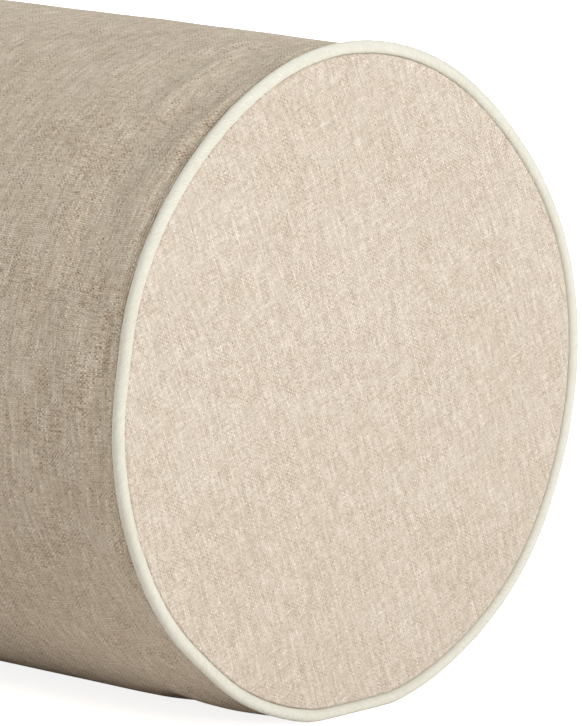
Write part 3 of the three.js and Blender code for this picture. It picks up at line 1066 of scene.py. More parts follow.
class EffectGraph(Graph):
    """The graph inside a shader node group, with what the group is given."""

    def __init__(self, name: str, takes: dict[str, Feed], gives: tuple[str, ...]) -> None:
        """Starts a node group.

        Args:
            name: the group's name.
            takes: each input's name and usual value; three numbers make a vector, four a colour.
            gives: the outputs' names; "Colour" is a colour.
        """
        super().__init__(bpy.data.node_groups.new(name, "ShaderNodeTree"))
        sockets = self.tree.interface
        for label, value in takes.items():
            size = len(value) if isinstance(value, tuple) else 1
            kind = {1: "NodeSocketFloat", 3: "NodeSocketVector", 4: "NodeSocketColor"}[size]
            sockets.new_socket(name=label, in_out="INPUT", socket_type=kind).default_value = value
        for label in gives:
            kind = "NodeSocketColor" if label == "Colour" else "NodeSocketFloat"
            sockets.new_socket(name=label, in_out="OUTPUT", socket_type=kind)
        start = self.tree.nodes.new("NodeGroupInput")
        self.given = {label: Value(self, start.outputs[label]) for label in takes}
        self.end = self.tree.nodes.new("NodeGroupOutput")

    def give(self, **results: Feed) -> NodeTree:
        """Puts out the results.

        Args:
            results: what each output puts out.

        Returns:
            The finished group.
        """
        for label, value in results.items():
            self.feed(self.end.inputs[label], value)
        return self.tree


class SharedEffects:
    """The shader node groups that several finishes use."""

    def __init__(self) -> None:
        """Builds every group once."""
        self.plain_weave = self._plain_weave()
        self.twill = self._twill()
        self.fuzz = self._fuzz()
        self.handling = self._handling()

    @staticmethod
    def _plain_weave() -> NodeTree:
        """A plain weave of uneven yarns.

        The cloth is divided into cells of one yarn each way. In every other cell the yarn that runs
        along the cloth's second coordinate lies on top, in the rest the crossing yarn, which is darker
        and shows as a speck where chance and a drifting streak pattern let it.

        Returns:
            The group.
        """
        takes = {
            "Cloth": ORIGIN,
            "Pitch": 0.75 * MM,
            "Slub length": 14 * MM,
            "Ground": GREY,
            "Pale": GREY,
            "Speck": GREY,
            "Speck amount": 0.6,
            "Cross slubs": 0.5,
        }
        graph = EffectGraph("Plain weave of slub yarns", takes, ("Colour", "Height", "Roughness"))
        given, eased = graph.given, graph.eased
        u_place, v_place, _ = graph.parts(given["Cloth"])

        def streaks(wide: float, long: float) -> Value:
            """Noise drawn out by a width and a length, in millimetres."""
            return graph.noise(graph.join(u_place / (wide * MM), v_place / (long * MM)), 1, 2, flat=True)

        def yarn(over: Value, run: Value, thickness: Value) -> Value:
            """A yarn's height: rounded across, dipping to both sides, thicker at a slub."""
            return (over**2.2 * -1 + 1) * (run**2 * -0.55 + 1) * (thickness * 1.5 + 0.2)

        wander = (graph.noise(given["Cloth"], 60, 3, flat=True) - 0.5) * 2.6
        u, v = u_place / given["Pitch"] + wander, v_place / given["Pitch"] - wander
        column, row = graph.math("FLOOR", u), graph.math("FLOOR", v)
        across, down = (abs(graph.math("FRACT", place) * 2 - 1) for place in (u, v))
        on_top = abs(graph.math("MODULO", column + row, 2.0))
        below = 1 - on_top
        thick_warp = graph.noise(graph.join(column * 0.731, v_place / given["Slub length"]), 1, 2, flat=True)
        thick_weft = graph.noise(graph.join(u_place / given["Slub length"], row * 0.683), 1, 2, flat=True)
        warp, weft = yarn(across, down, thick_warp), yarn(down, across, thick_weft)
        height = warp * on_top + weft * below

        drift, slub = streaks(2.8, 9), streaks(5, 0.62)
        broad = graph.noise(given["Cloth"], 30, 2, flat=True)
        odds = graph.chance(column, row) * 0.5 + drift * 0.8 + broad * 0.4
        cell = eased(odds, 0.72, 1.2) * eased(weft, 0.2, 0.75) * below
        dash = eased(streaks(0.42, 1.5), 0.5, 0.72) * eased(drift, 0.36, 0.62) * 0.6
        dark_slub = eased(slub, 0.56, 0.72) * eased(broad, 0.42, 0.6) * given["Cross slubs"]
        speck = graph.greatest(graph.greatest(cell, dash) * given["Speck amount"], dark_slub)
        # Paler neps, slubs and thick stretches of the yarn on top: partly the yarn's own colour, partly a
        # painted highlight on the raised slubs.
        nep = eased(streaks(-0.9, -0.6), 0.54, 0.76)
        pale_slub = eased(slub, 0.44, 0.30) * given["Cross slubs"]
        pale = graph.greatest(eased(thick_warp, 0.5, 0.72) * on_top, nep, pale_slub)
        colour = graph.mix(speck, given["Ground"], given["Speck"])
        colour = graph.mix(pale * 0.8, colour, given["Pale"])

        # Painted shade in the gaps between yarns: the colour darkens and turns warmer where the yarns dip,
        # times each yarn's own random tone.
        slubs = (thick_warp + thick_weft - 1) * 0.32
        tone = slubs + graph.chance(column + 41, row) * 0.16 + 0.92
        shade = eased(height, 0.0, 0.5, 0.74, 1.0) * tone
        tint = graph.value("CombineColor", {0: shade, 1: shade**1.12, 2: shade**1.3})
        colour = graph.mix(1.0, colour, tint, "MULTIPLY")
        return graph.give(Colour=colour, Height=height, Roughness=height * -0.12 + 0.95)

    @staticmethod
    def _twill() -> NodeTree:
        """A twill: ribs that cross the cloth on the slant, and turn back where it is a herringbone.

        A rib's height is the fold of (u + slant * v) / pitch, and each yarn crosses it in short steps.

        Returns:
            The group.
        """
        takes = {
            "Cloth": ORIGIN,
            "Pitch": 0.7 * MM,
            "Slant": 1.0,
            "Turn": 1.0,
            "Light": GREY,
            "Dark": GREY,
        }
        graph = EffectGraph("Twill", takes, ("Colour", "Height"))
        given = graph.given
        u, v, _ = graph.parts(given["Cloth"])
        slanted = graph.math("PINGPONG", v, given["Turn"]) * given["Slant"]
        lean, cross = (slanted + u) / given["Pitch"], (u - slanted) / given["Pitch"]
        jitter = graph.noise(given["Cloth"], 260, 2, flat=True) * 0.9
        rib = graph.math("PINGPONG", lean + jitter, 0.5)
        yarn = graph.math("PINGPONG", (cross + jitter) * 1.35, 0.5)
        height = graph.eased(rib, 0.02, 0.40) * 0.75 + graph.eased(yarn, 0.0, 0.4) * 0.25
        # Painted shade between the ribs: the colour runs from light on a rib's crest to dark where it dips,
        # less a random tone for each rib.
        tone = graph.chance(graph.math("FLOOR", lean), graph.math("FLOOR", cross * 0.2))
        share = graph.math("ADD", tone * -0.35, height * 1.25, clamp=True)
        return graph.give(Colour=graph.mix(share, given["Dark"], given["Light"]), Height=height)

    @staticmethod
    def _fuzz() -> NodeTree:
        """Loose fibre ends over a cloth: fine noise that lifts and shades it.

        Returns:
            The group.
        """
        takes = {"Place": ORIGIN, "Fineness": 3800.0, "Amount": 0.3, "Height": 0.5}
        graph = EffectGraph("Fibre fuzz", takes, ("Height", "Shade"))
        given = graph.given
        fibre = (graph.noise(given["Place"], given["Fineness"], 3) - 0.5) * given["Amount"]
        return graph.give(Height=given["Height"] + fibre, Shade=fibre * 0.35 + 1)

    @staticmethod
    def _handling() -> NodeTree:
        """Broad, faint shade changes over a piece, as cloth and metal get from dye lot and handling.

        Returns:
            The group.
        """
        takes = {
            "Place": ORIGIN,
            "Colour": GREY,
            "Tint": GREY,
            "Amount": 0.15,
            "Scale": 9.0,
        }
        graph = EffectGraph("Handling", takes, ("Colour", "Patch"))
        given = graph.given
        inputs = {"Vector": given["Place"], "Scale": given["Scale"], "Detail": 4.0, "Roughness": 0.6}
        patch = graph.eased(graph.value("TexNoise", inputs), 0.35, 0.72)
        colour = graph.mix(patch * given["Amount"], given["Colour"], given["Tint"])
        return graph.give(Colour=colour, Patch=patch)


class Look(Graph):
    """The graph of one material, round its shader."""

    def __init__(self, made: bpy.types.Material) -> None:
        """Takes an empty material and puts a shader in it."""
        super().__init__(made.node_tree)
        self.shader = self.add("BsdfPrincipled")
        self.add("OutputMaterial", {"Surface": self.shader.outputs[0]})

    def show(self, **values: Feed) -> None:
        """Feeds the shader's sockets, which are named with underscores for spaces."""
        for name, value in values.items():
            self.feed(self.shader.inputs[name.replace("_", " ")], value)

    def place(self) -> Value:
        """The place on the piece, in metres."""
        return self.value("TexCoord", output="Object")

    def cloth(self) -> Value:
        """The place on the cloth before it was sewn, in metres."""
        return self.value("UVMap", uv_map=Surface.CLOTH_MAP)


@dataclass(frozen=True)
class Finish:
    """What every finish shares.

    Attributes:
        name: the material's name.
        effects: the shared shader node groups.
        roughness: how matt it is.
        relief: how deep its surface is, in metres.
        sheen: how much its fibre ends catch the light.
    """

    name: str
    effects: SharedEffects
    roughness: float = 0.9
    relief: float = 0.2 * MM
    sheen: float = 0.2

    def material(self) -> bpy.types.Material:
        """Makes the material, which the finish's own pattern then dresses.

        Returns:
            The material.
        """
        made = bpy.data.materials.new(self.name)
        made.use_nodes = True
        made.node_tree.nodes.clear()
        look = Look(made)
        look.show(Roughness=self.roughness, Sheen_Weight=self.sheen, Sheen_Roughness=0.45)
        self.dress(look)
        return made

    def dress(self, look: Look) -> None:
        """Wires the finish's own pattern into the shader."""
        raise NotImplementedError

    def colour_in(self, look: Look, colour: Feed, tint: Feed, amount: float, scale: float = 9.0) -> Value:
        """Colours the shader, with broad patches of a tint.

        Args:
            look: the material's graph.
            colour: the main colour.
            tint: the patches' colour.
            amount: how strongly they show.
            scale: how many there are in a metre.

        Returns:
            Where the patches are.
        """
        inputs = {"Place": look.place(), "Colour": colour, "Tint": tint, "Amount": amount, "Scale": scale}
        worn = look.effect(self.effects.handling, inputs)
        look.show(Base_Color=worn["Colour"])
        return worn["Patch"]

    def fibres(
        self, look: Look, pattern: dict[str, Value], soiled: Rgba, fuzz: float, **patches: float
    ) -> None:
        """Covers a woven pattern with fibre ends and shades it broadly.

        Args:
            look: the material's graph.
            pattern: the weave's colour and height.
            soiled: what its colour is multiplied by in patches.
            fuzz: how far the fibre ends stand up.
            patches: the patches' amount and scale.
        """
        inputs = {"Place": look.place(), "Height": pattern["Height"], "Amount": fuzz}
        ends = look.effect(self.effects.fuzz, inputs)
        shaded = look.mix(1.0, pattern["Colour"], ends["Shade"], "MULTIPLY")
        self.colour_in(look, shaded, look.mix(1.0, shaded, soiled, "MULTIPLY"), **patches)
        self.emboss(look, ends["Height"])

    def emboss(self, look: Look, height: Value, strength: float = 0.8) -> None:
        """Gives the shader its surface relief."""
        inputs = {"Strength": strength, "Distance": self.relief, "Height": height}
        look.show(Normal=look.value("Bump", inputs))


@dataclass(frozen=True)
class WovenFinish(Finish):
    """A plain-woven cloth, slubbed or even.

    Attributes:
        pitch: the yarns' spacing.
        slub_length: how long a thick stretch of yarn is.
        ground: the main yarn's colour.
        pale: the colour of its thick stretches, partly a painted highlight on their raised tops.
        speck: the crossing yarn's colour where it shows through.
        speck_amount: how strongly it shows.
        cross_slubs: how strongly thick stretches of the crossing yarn show.
    """

    pitch: float = 0.75 * MM
    slub_length: float = 12 * MM
    ground: Rgba = (0.7, 0.6, 0.5, 1.0)
    pale: Rgba = (0.8, 0.7, 0.6, 1.0)
    speck: Rgba = (0.4, 0.3, 0.2, 1.0)
    speck_amount: float = 0.6
    cross_slubs: float = 0.5

    def dress(self, look: Look) -> None:
        """Weaves the cloth, roughens it with fibre ends and shades it broadly.

        Args:
            look: the material's look.
        """
        inputs = {
            "Cloth": look.cloth(),
            "Pitch": self.pitch,
            "Slub length": self.slub_length,
            "Ground": self.ground,
            "Pale": self.pale,
            "Speck": self.speck,
            "Speck amount": self.speck_amount,
            "Cross slubs": self.cross_slubs,
        }
        weave = look.effect(self.effects.plain_weave, inputs)
        self.fibres(look, weave, (0.90, 0.87, 0.83, 1.0), fuzz=0.3, amount=0.5)
        look.show(Roughness=weave["Roughness"])


@dataclass(frozen=True)
class TwillFinish(Finish):
    """A twill cloth or a herringbone tape.

    Attributes:
        pitch: the ribs' spacing.
        slant: the ribs' lean: 0 runs them straight across.
        turn: how wide a stripe of the herringbone is.
        light: the ribs' colour.
        dark: the colour between them, painted shade in the grooves, and of ribs of darker tone.
    """

    pitch: float = 0.7 * MM
    slant: float = 1.0
    turn: float = 1.0
    light: Rgba = (0.8, 0.75, 0.68, 1.0)
    dark: Rgba = (0.6, 0.55, 0.48, 1.0)

    def dress(self, look: Look) -> None:
        """Weaves the ribs and roughens them with fibre ends.

        Args:
            look: the material's look.
        """
        inputs = {
            "Cloth": look.cloth(),
            "Pitch": self.pitch,
            "Slant": self.slant,
            "Turn": self.turn,
            "Light": self.light,
            "Dark": self.dark,
        }
        twill = look.effect(self.effects.twill, inputs)
        self.fibres(look, twill, (0.93, 0.92, 0.88, 1.0), fuzz=0.5, amount=0.6, scale=22.0)
        look.show(Roughness=twill["Height"] * -0.1 + self.roughness)


@dataclass(frozen=True)
class FibreFinish(Finish):
    """Loose or twisted fibre: batting, cotton filler cord and sewing thread.

    Attributes:
        colour: the fibre's colour.
        shadow: the colour between fibres.
        length: how long the fibres look along the piece.
        width: how wide they look across it.
    """

    colour: Rgba = (0.85, 0.84, 0.8, 1.0)
    shadow: Rgba = (0.6, 0.58, 0.55, 1.0)
    length: float = 8 * MM
    width: float = 0.5 * MM

    def dress(self, look: Look) -> None:
        """Lays two stretched noises across each other as strands.

        Args:
            look: the material's look.
        """
        place = look.place()
        x, y, z = look.parts(place)
        first = look.join(x / self.length, y / self.width, z / self.width)
        second = look.join(x / self.width, y / self.length, z / (self.length * 0.6))
        strands = look.greatest(look.noise(first, 1, 3), look.noise(second, 1, 3))
        share = look.eased(strands, 0.42, 0.68)
        fuzz = look.effect(self.effects.fuzz, {"Place": place, "Height": share})
        self.colour_in(look, look.mix(share, self.shadow, self.colour), self.shadow, 0.12)
        self.emboss(look, fuzz["Height"])


@dataclass(frozen=True)
class FoamFinish(Finish):
    """Open-cell foam, cut with a knife.

    Attributes:
        colour: the foam's colour.
        pore: the colour inside a pore, a painted shade in the hollow.
        pores: pores per metre.
    """

    colour: Rgba = (0.86, 0.78, 0.55, 1.0)
    pore: Rgba = (0.6, 0.5, 0.3, 1.0)
    pores: float = 1100.0

    def dress(self, look: Look) -> None:
        """Opens pores at scattered points, of two sizes.

        Args:
            look: the material's look.
        """
        place = look.place()
        fine = look.value("TexVoronoi", {"Vector": place, "Scale": self.pores}, "Distance")
        coarse = look.value("TexVoronoi", {"Vector": place, "Scale": self.pores / 3.7}, "Distance")
        # Painted shade in the pores: the colour darkens towards a pore's middle, away from the cell walls.
        wall = look.eased(fine, 0.12, 0.5) * look.eased(coarse, 0.05, 0.22, 0.6, 1.0)
        self.colour_in(look, look.mix(wall, self.pore, self.colour), self.pore, 0.1)
        self.emboss(look, wall)


@dataclass(frozen=True)
class NylonFinish(Finish):
    """Dyed nylon wire, wound into a zip's coils.

    Attributes:
        colour: the wire's colour.
        deep: its colour where the dye took more.
    """

    colour: Rgba = (0.6, 0.5, 0.4, 1.0)
    deep: Rgba = (0.5, 0.4, 0.3, 1.0)

    def dress(self, look: Look) -> None:
        """Varies the dye along the zip and dulls the wire in places.

        Args:
            look: the material's look.
        """
        patch = self.colour_in(look, self.colour, self.deep, 0.8, 160.0)
        look.show(Roughness=patch * 0.2 + self.roughness)
        self.emboss(look, look.noise(look.place(), 2600, 2), 0.3)


@dataclass(frozen=True)
class MetalFinish(Finish):
    """Nickel-plated zinc, tumbled smooth and a little handled.

    Attributes:
        colour: the plating's colour.
        dull: its colour where it has dulled.
        bright: its colour where an edge is rubbed.
    """

    colour: Rgba = (0.62, 0.6, 0.56, 1.0)
    dull: Rgba = (0.45, 0.42, 0.38, 1.0)
    bright: Rgba = (0.85, 0.83, 0.8, 1.0)

    def dress(self, look: Look) -> None:
        """Dulls the plating in patches, brightens its edges and scratches it finely.

        Args:
            look: the material's look.
        """
        place = look.place()
        inputs = {"Place": place, "Colour": self.colour, "Tint": self.dull, "Amount": 0.7, "Scale": 300.0}
        worn = look.effect(self.effects.handling, inputs)
        stretched = look.value("Mapping", {"Vector": place, "Scale": (900.0, 9000.0, 9000.0)})
        scratch = look.noise(stretched, 1, 3)
        edge = look.eased(look.value("NewGeometry", output="Pointiness"), 0.5, 0.56)
        rough = worn["Patch"] * 0.12 + scratch * 0.16 + (self.roughness - 0.1)
        look.show(Metallic=1.0)
        look.show(Base_Color=look.mix(edge * 0.5, worn["Colour"], self.bright))
        look.show(Roughness=rough)
        self.emboss(look, scratch, 0.25)


@dataclass(frozen=True)
class FloorFinish(Finish):
    """A plain pale studio floor.

    Attributes:
        colour: its colour.
        glow: how much brighter the camera sees it than it lights the piece.
    """

    colour: Rgba = (0.93, 0.9, 0.88, 1.0)
    glow: float = 0.86

    def dress(self, look: Look) -> None:
        """Leaves the floor plain.

        Args:
            look: the material's look.
        """
        look.show(Base_Color=self.colour)
        look.show(Emission_Color=(1.0, 1.0, 1.0, 1.0))
        seen = look.value("LightPath", output="Is Camera Ray")
        look.show(Emission_Strength=seen * self.glow)


class Finishes:
    """The bolster's materials."""

    def __init__(self) -> None:
        """Makes every material once."""
        effects = SharedEffects()
        # The barrel's shaded copy of the cloth: its paler slubs and darker, denser specks are painted
        # contrast standing in for raking light on the barrel's shaded side.
        self.slub = WovenFinish(
            "slub_weave",
            effects,
            relief=0.5 * MM,
            sheen=0.15,
            ground=screen(216, 199, 176),
            pale=screen(238, 227, 209),
            speck=screen(150, 119, 86),
            speck_amount=0.95,
            cross_slubs=0.6,
        ).material()
        # The ends' lit copy of the same cloth, with the milder pale and speck contrast that it shows facing
        # the key light.
        self.slub_end = WovenFinish(
            "slub_weave_ends",
            effects,
            relief=0.25 * MM,
            sheen=0.15,
            ground=screen(214, 201, 185),
            pale=screen(221, 211, 197),
            speck=screen(163, 136, 109),
            speck_amount=0.72,
            cross_slubs=0.15,
        ).material()
        self.piping = TwillFinish(
            "piping_twill",
            effects,
            relief=0.1 * MM,
            sheen=0.1,
            pitch=0.62 * MM,
            light=screen(227, 225, 212),
            dark=screen(200, 197, 182),
        ).material()
        self.filler = FibreFinish(
            "cotton_filler", effects, length=3 * MM, colour=screen(240, 236, 225)
        ).material()
        self.tape = TwillFinish(
            "zipper_tape",
            effects,
            relief=0.12 * MM,
            pitch=0.75 * MM,
            turn=2.4 * MM,
            light=screen(207, 192, 169),
            dark=screen(176, 160, 136),
        ).material()
        self.coil = NylonFinish(
            "zipper_coil",
            effects,
            roughness=0.42,
            relief=0.03 * MM,
            sheen=0.0,
            colour=screen(206, 191, 168),
            deep=screen(186, 169, 144),
        ).material()
        self.metal = MetalFinish(
            "zipper_metal", effects, roughness=0.26, relief=0.02 * MM, sheen=0.0
        ).material()
        self.muslin = WovenFinish(
            "liner_muslin",
            effects,
            relief=0.12 * MM,
            pitch=0.6 * MM,
            slub_length=20 * MM,
            ground=screen(236, 229, 214),
            pale=screen(241, 236, 224),
            speck=screen(205, 190, 164),
            speck_amount=0.5,
        ).material()
        self.batting = FibreFinish(
            "batting",
            effects,
            relief=0.5 * MM,
            colour=screen(247, 246, 243),
            shadow=screen(214, 213, 210),
        ).material()
        self.foam = FoamFinish("foam", effects, relief=0.5 * MM, sheen=0.0).material()
        self.thread = FibreFinish(
            "sewing_thread",
            effects,
            relief=0.06 * MM,
            length=1.2 * MM,
            width=0.12 * MM,
            colour=screen(236, 226, 207),
            shadow=screen(190, 174, 150),
        ).material()
        self.floor = FloorFinish("studio_floor", effects, roughness=0.9, sheen=0.0).material()


def hand_in(
    piece: Piece,
    material: bpy.types.Material,
    body: str = "bolster",
    stands_for: tuple[str, ...] = (),
) -> None:
    """Dresses a piece, puts it on its body and reports it.

    Args:
        piece: the piece.
        material: its material.
        body: the body that it rides on.
        stands_for: the frame's nodes that it replaces.
    """
    piece.data.materials.append(material)
    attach(piece, body)
    if stands_for:
        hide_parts(*stands_for)
    log.info("%s: %d points", piece.name, len(piece.data.vertices))


# ---- The cover ----


@dataclass(frozen=True)
class BarrelPanel:
    """The long panel: one cloth round the barrel, its two edges turned under along the zip.

    Attributes:
        form: the bolster's form.
        give: the cover's small departures from it.
        finishes: the bolster's materials.
        opening: half of the zip opening's length.
        slot: half of the slot's width between the folded edges.
        turned_under: how wide the cloth is turned under.
        stitch_line: how far the topstitching lies from the folded edge.
    """

    form: Form
    give: Give
    finishes: Finishes
    opening: float = 254 * MM
    slot: float = 5 * MM
    turned_under: float = 12 * MM
    stitch_line: float = 3.2 * MM

    def _path(self) -> Path:
        """The cloth's middle line from seam to seam, as (x, radius).

        Returns:
            The path.
        """
        form = self.form
        top, shoulder = form.radius - form.cloth / 2, 22 * MM
        half = [
            (form.seam_x - 68 * MM, top),
            (form.seam_x - shoulder, top - 0.6 * MM),
            (form.seam_x - shoulder / 3, top - 0.85 * MM),
        ]
        corner = np.array([form.seam_x, form.seam_radius])
        half = np.vstack([half, corner + form.turned_edge()])
        return Path(np.vstack([half[::-1] * [-1, 1], half]), 0.8 * MM)

    def _stations(self, path: Path) -> Array:
        """Lengths along the path: close at the seams and at the zip's ends.

        Args:
            path: the cloth's middle line.

        Returns:
            The lengths.
        """
        half = path.length / 2

        def spacing(at: Array) -> Array:
            """The spacing at some lengths along the path."""
            from_tip = half - np.abs(at - half)
            seam = table(from_tip, (0, 9, 12, 40, 90), (1, 0.7, 1, 2.2, 10))
            zip_end = np.abs(np.abs(at - half) - self.opening)
            return np.minimum(seam, table(zip_end, (0, 4, 20), (0.9, 1.1, 10)))

        return graded(spacing, 0, path.length)

    def _across(self) -> tuple[Array, Array]:
        """The cloth's run round the barrel, from fold to fold.

        Returns:
            Each column's length from the slot's edge round the barrel, and its depth below the
            outside face.
        """
        upper, lower = self.form.cloth / 2, 1.5 * self.form.cloth + 0.3 * MM
        bend = (lower - upper) / 2
        turn = np.linspace(-math.pi / 2, math.pi / 2, 7)[1:-1]
        middle = self.form.cloth / 2 + bend
        under = np.linspace(self.turned_under, middle, 6)
        fold = np.concatenate([under, middle - bend * np.cos(turn)])
        depth = np.concatenate([np.full(6, lower), (upper + lower) / 2 - bend * np.sin(turn)])
        around = TAU * self.form.radius
        outside = graded(
            lambda at: table(np.minimum(at, around - at), (0, 7, 30), (0.75, 0.95, 3)),
            middle,
            around - middle,
        )
        arc = np.concatenate([fold, outside, around - fold[::-1]])
        return arc, np.concatenate([depth, np.full(len(outside), upper), depth[::-1]])

    def half_gap(self, x: Array) -> Array:
        """Half of the gap between the folded edges: the slot, closing to a sewn seam past its ends."""
        closed = 0.05 * MM
        past = eased(np.abs(x), self.opening - 1 * MM, self.opening + 3 * MM)
        return closed + (self.slot - closed) * (1 - past)

    def cloth(self) -> None:
        """Builds the panel.

        Rows follow the path from seam to seam and columns run round the barrel. A point is the
        path's point moved along its normal by the fold's depth, the puckers, the blown-out skin and
        the topstitching's groove, and then turned about the axis.
        """
        form, give = self.form, self.give
        path = self._path()
        stations = self._stations(path)
        line, normal = path.at(stations), path.normal(stations)
        arc, depth = self._across()
        around = TAU * form.radius
        gap = self.half_gap(line[:, :1])
        to_edge = np.minimum(arc, around - arc)
        arc_here = arc + gap * (1 - 2 * arc / around)
        angle = form.zip_angle + arc_here / form.radius
        from_seam = form.seam_x - 3 * MM - np.abs(line[:, :1])
        edge_hold = eased(to_edge, 2 * MM, 16 * MM)
        blown = give.barrel.at(line[:, :1] + 0 * angle, angle) * eased(from_seam, 0, 4 * MM)
        out = (give.puckers(from_seam, angle, 5) + blown) * edge_hold
        sewn = 1 - eased(np.abs(line[:, :1]), self.opening + 1 * MM, self.opening + 5 * MM)
        groove = bell(to_edge - self.stitch_line, 0.9 * MM) * sewn
        seam_roll = bell(to_edge, 1.6 * MM) * (1 - sewn) * eased(from_seam, 0, 12 * MM)
        out = out - 0.4 * MM * bell(from_seam, 2 * MM)
        out = out - 0.22 * MM * groove - 0.35 * MM * seam_roll
        offset = form.cloth / 2 - depth + out
        x = line[:, :1] + normal[:, :1] * offset
        radius = line[:, 1:] + normal[:, 1:] * offset
        x, radius = give.wandered(x, radius, angle)
        points = form.settle(turned(x, radius, angle))
        cloth = stacked(stations[:, None], arc_here)
        piece = Surface().grid(points, cloth=cloth).build("barrel_cloth", thickness=form.cloth)
        hand_in(piece, self.finishes.slub, stands_for=("barrel_panel",))

    def stitching(self) -> None:
        """Sews the folded edges down along the zip and ties the slot's ends with bar tacks."""
        form = self.form
        pitch, length = 3.4 * MM, 2.7 * MM
        surface = Surface()
        starts = np.arange(-self.opening - 2 * MM, self.opening + 2 * MM, pitch)
        rng = np.random.default_rng(23)
        height = form.radius - 0.12 * MM
        for side in (Half.UPPER, Half.LOWER):
            arc = -side.value * (self.slot + self.stitch_line)
            sway = rng.normal(0, 0.07 * MM, (2, len(starts)))
            ends = []
            for k, x in enumerate((starts, starts + length)):
                angle = form.zip_angle + (arc + sway[k]) / form.radius
                ends.append(turned(x, height, angle))
            out = turned(0 * starts, 1.0, form.zip_angle + arc / form.radius)
            self._add_threads(surface, threads(ends[0], ends[1], out, 0.23 * MM, 0.14 * MM))
        for end in (-1, 1):
            x = end * (self.opening + 1.6 * MM + np.arange(9) * 0.34 * MM)
            reach = 6.2 * MM + rng.normal(0, 0.15 * MM, (2, len(x)))
            level = form.radius + 0.02 * MM
            tips = [turned(x, level, form.zip_angle + s * r / form.radius) for s, r in zip((-1, 1), reach)]
            out = turned(0 * x, 1.0, form.zip_angle)
            self._add_threads(surface, threads(tips[0], tips[1], out, 0.21 * MM, 0.16 * MM))
        hand_in(surface.build("zip_topstitching"), self.finishes.thread)

    def _add_threads(self, surface: Surface, grids: Array) -> None:
        """Adds settled stitches to a surface."""
        surface.solid(self.form.settle(grids))


@dataclass(frozen=True)
class EndPanel:
    """A round end: a taut disc of cloth, turned in round its edge.

    Attributes:
        form: the bolster's form.
        give: the cover's small departures from it.
        finishes: the bolster's materials.
        side: which end it closes.
        lean: how far the weave leans from upright.
    """

    form: Form
    give: Give
    finishes: Finishes
    side: Side
    lean: float = math.radians(21)

    def cloth(self) -> None:
        """Builds the disc: rings follow the path out from the middle, and columns go round."""
        form, side = self.form, self.side.value
        radii = np.linspace(0, 104, 14) * MM
        face = np.column_stack([radii, form.seam_x - form.cloth / 2 + form.crowned(radii)])
        edge = form.turned_edge(rise=0.5 * MM) + [form.seam_radius, form.seam_x]
        path = Path(np.vstack([face, edge]), 0.4 * MM)
        rim = path.length - 9 * MM
        stations = graded(
            lambda at: table(rim - at, (-10, 0, 8, 30, 100), (0.8, 0.45, 1.2, 2.4, 4)), 1.5 * MM, path.length
        )
        line, normal = path.at(stations), path.normal(stations)
        angle = np.arange(264) * TAU / 264
        from_seam = form.seam_radius - 3 * MM - line[:, :1]
        blown = self.give.ends[self.side].at(*np.broadcast_arrays(line[:, :1], angle))
        out = 0.7 * self.give.puckers(from_seam, angle, 31 + int(side)) + blown * eased(from_seam, 0, 5 * MM)
        radius = line[:, :1] + normal[:, :1] * out
        x = side * (line[:, 1:] + normal[:, 1:] * out)
        x, radius = self.give.wandered(x, radius, angle)
        points = form.settle(turned(x, radius, angle))
        bearing = np.append(angle, TAU) * side - self.lean
        cloth = stations[:, None, None] * circle(bearing)
        name = self.side.label
        surface = Surface().grid(points, round_columns=True, poles=(True, False), cloth=cloth)
        piece = surface.build(f"end_cloth_{name}", thickness=form.cloth)
        hand_in(piece, self.finishes.slub_end, stands_for=(f"end_panel_{name}",))


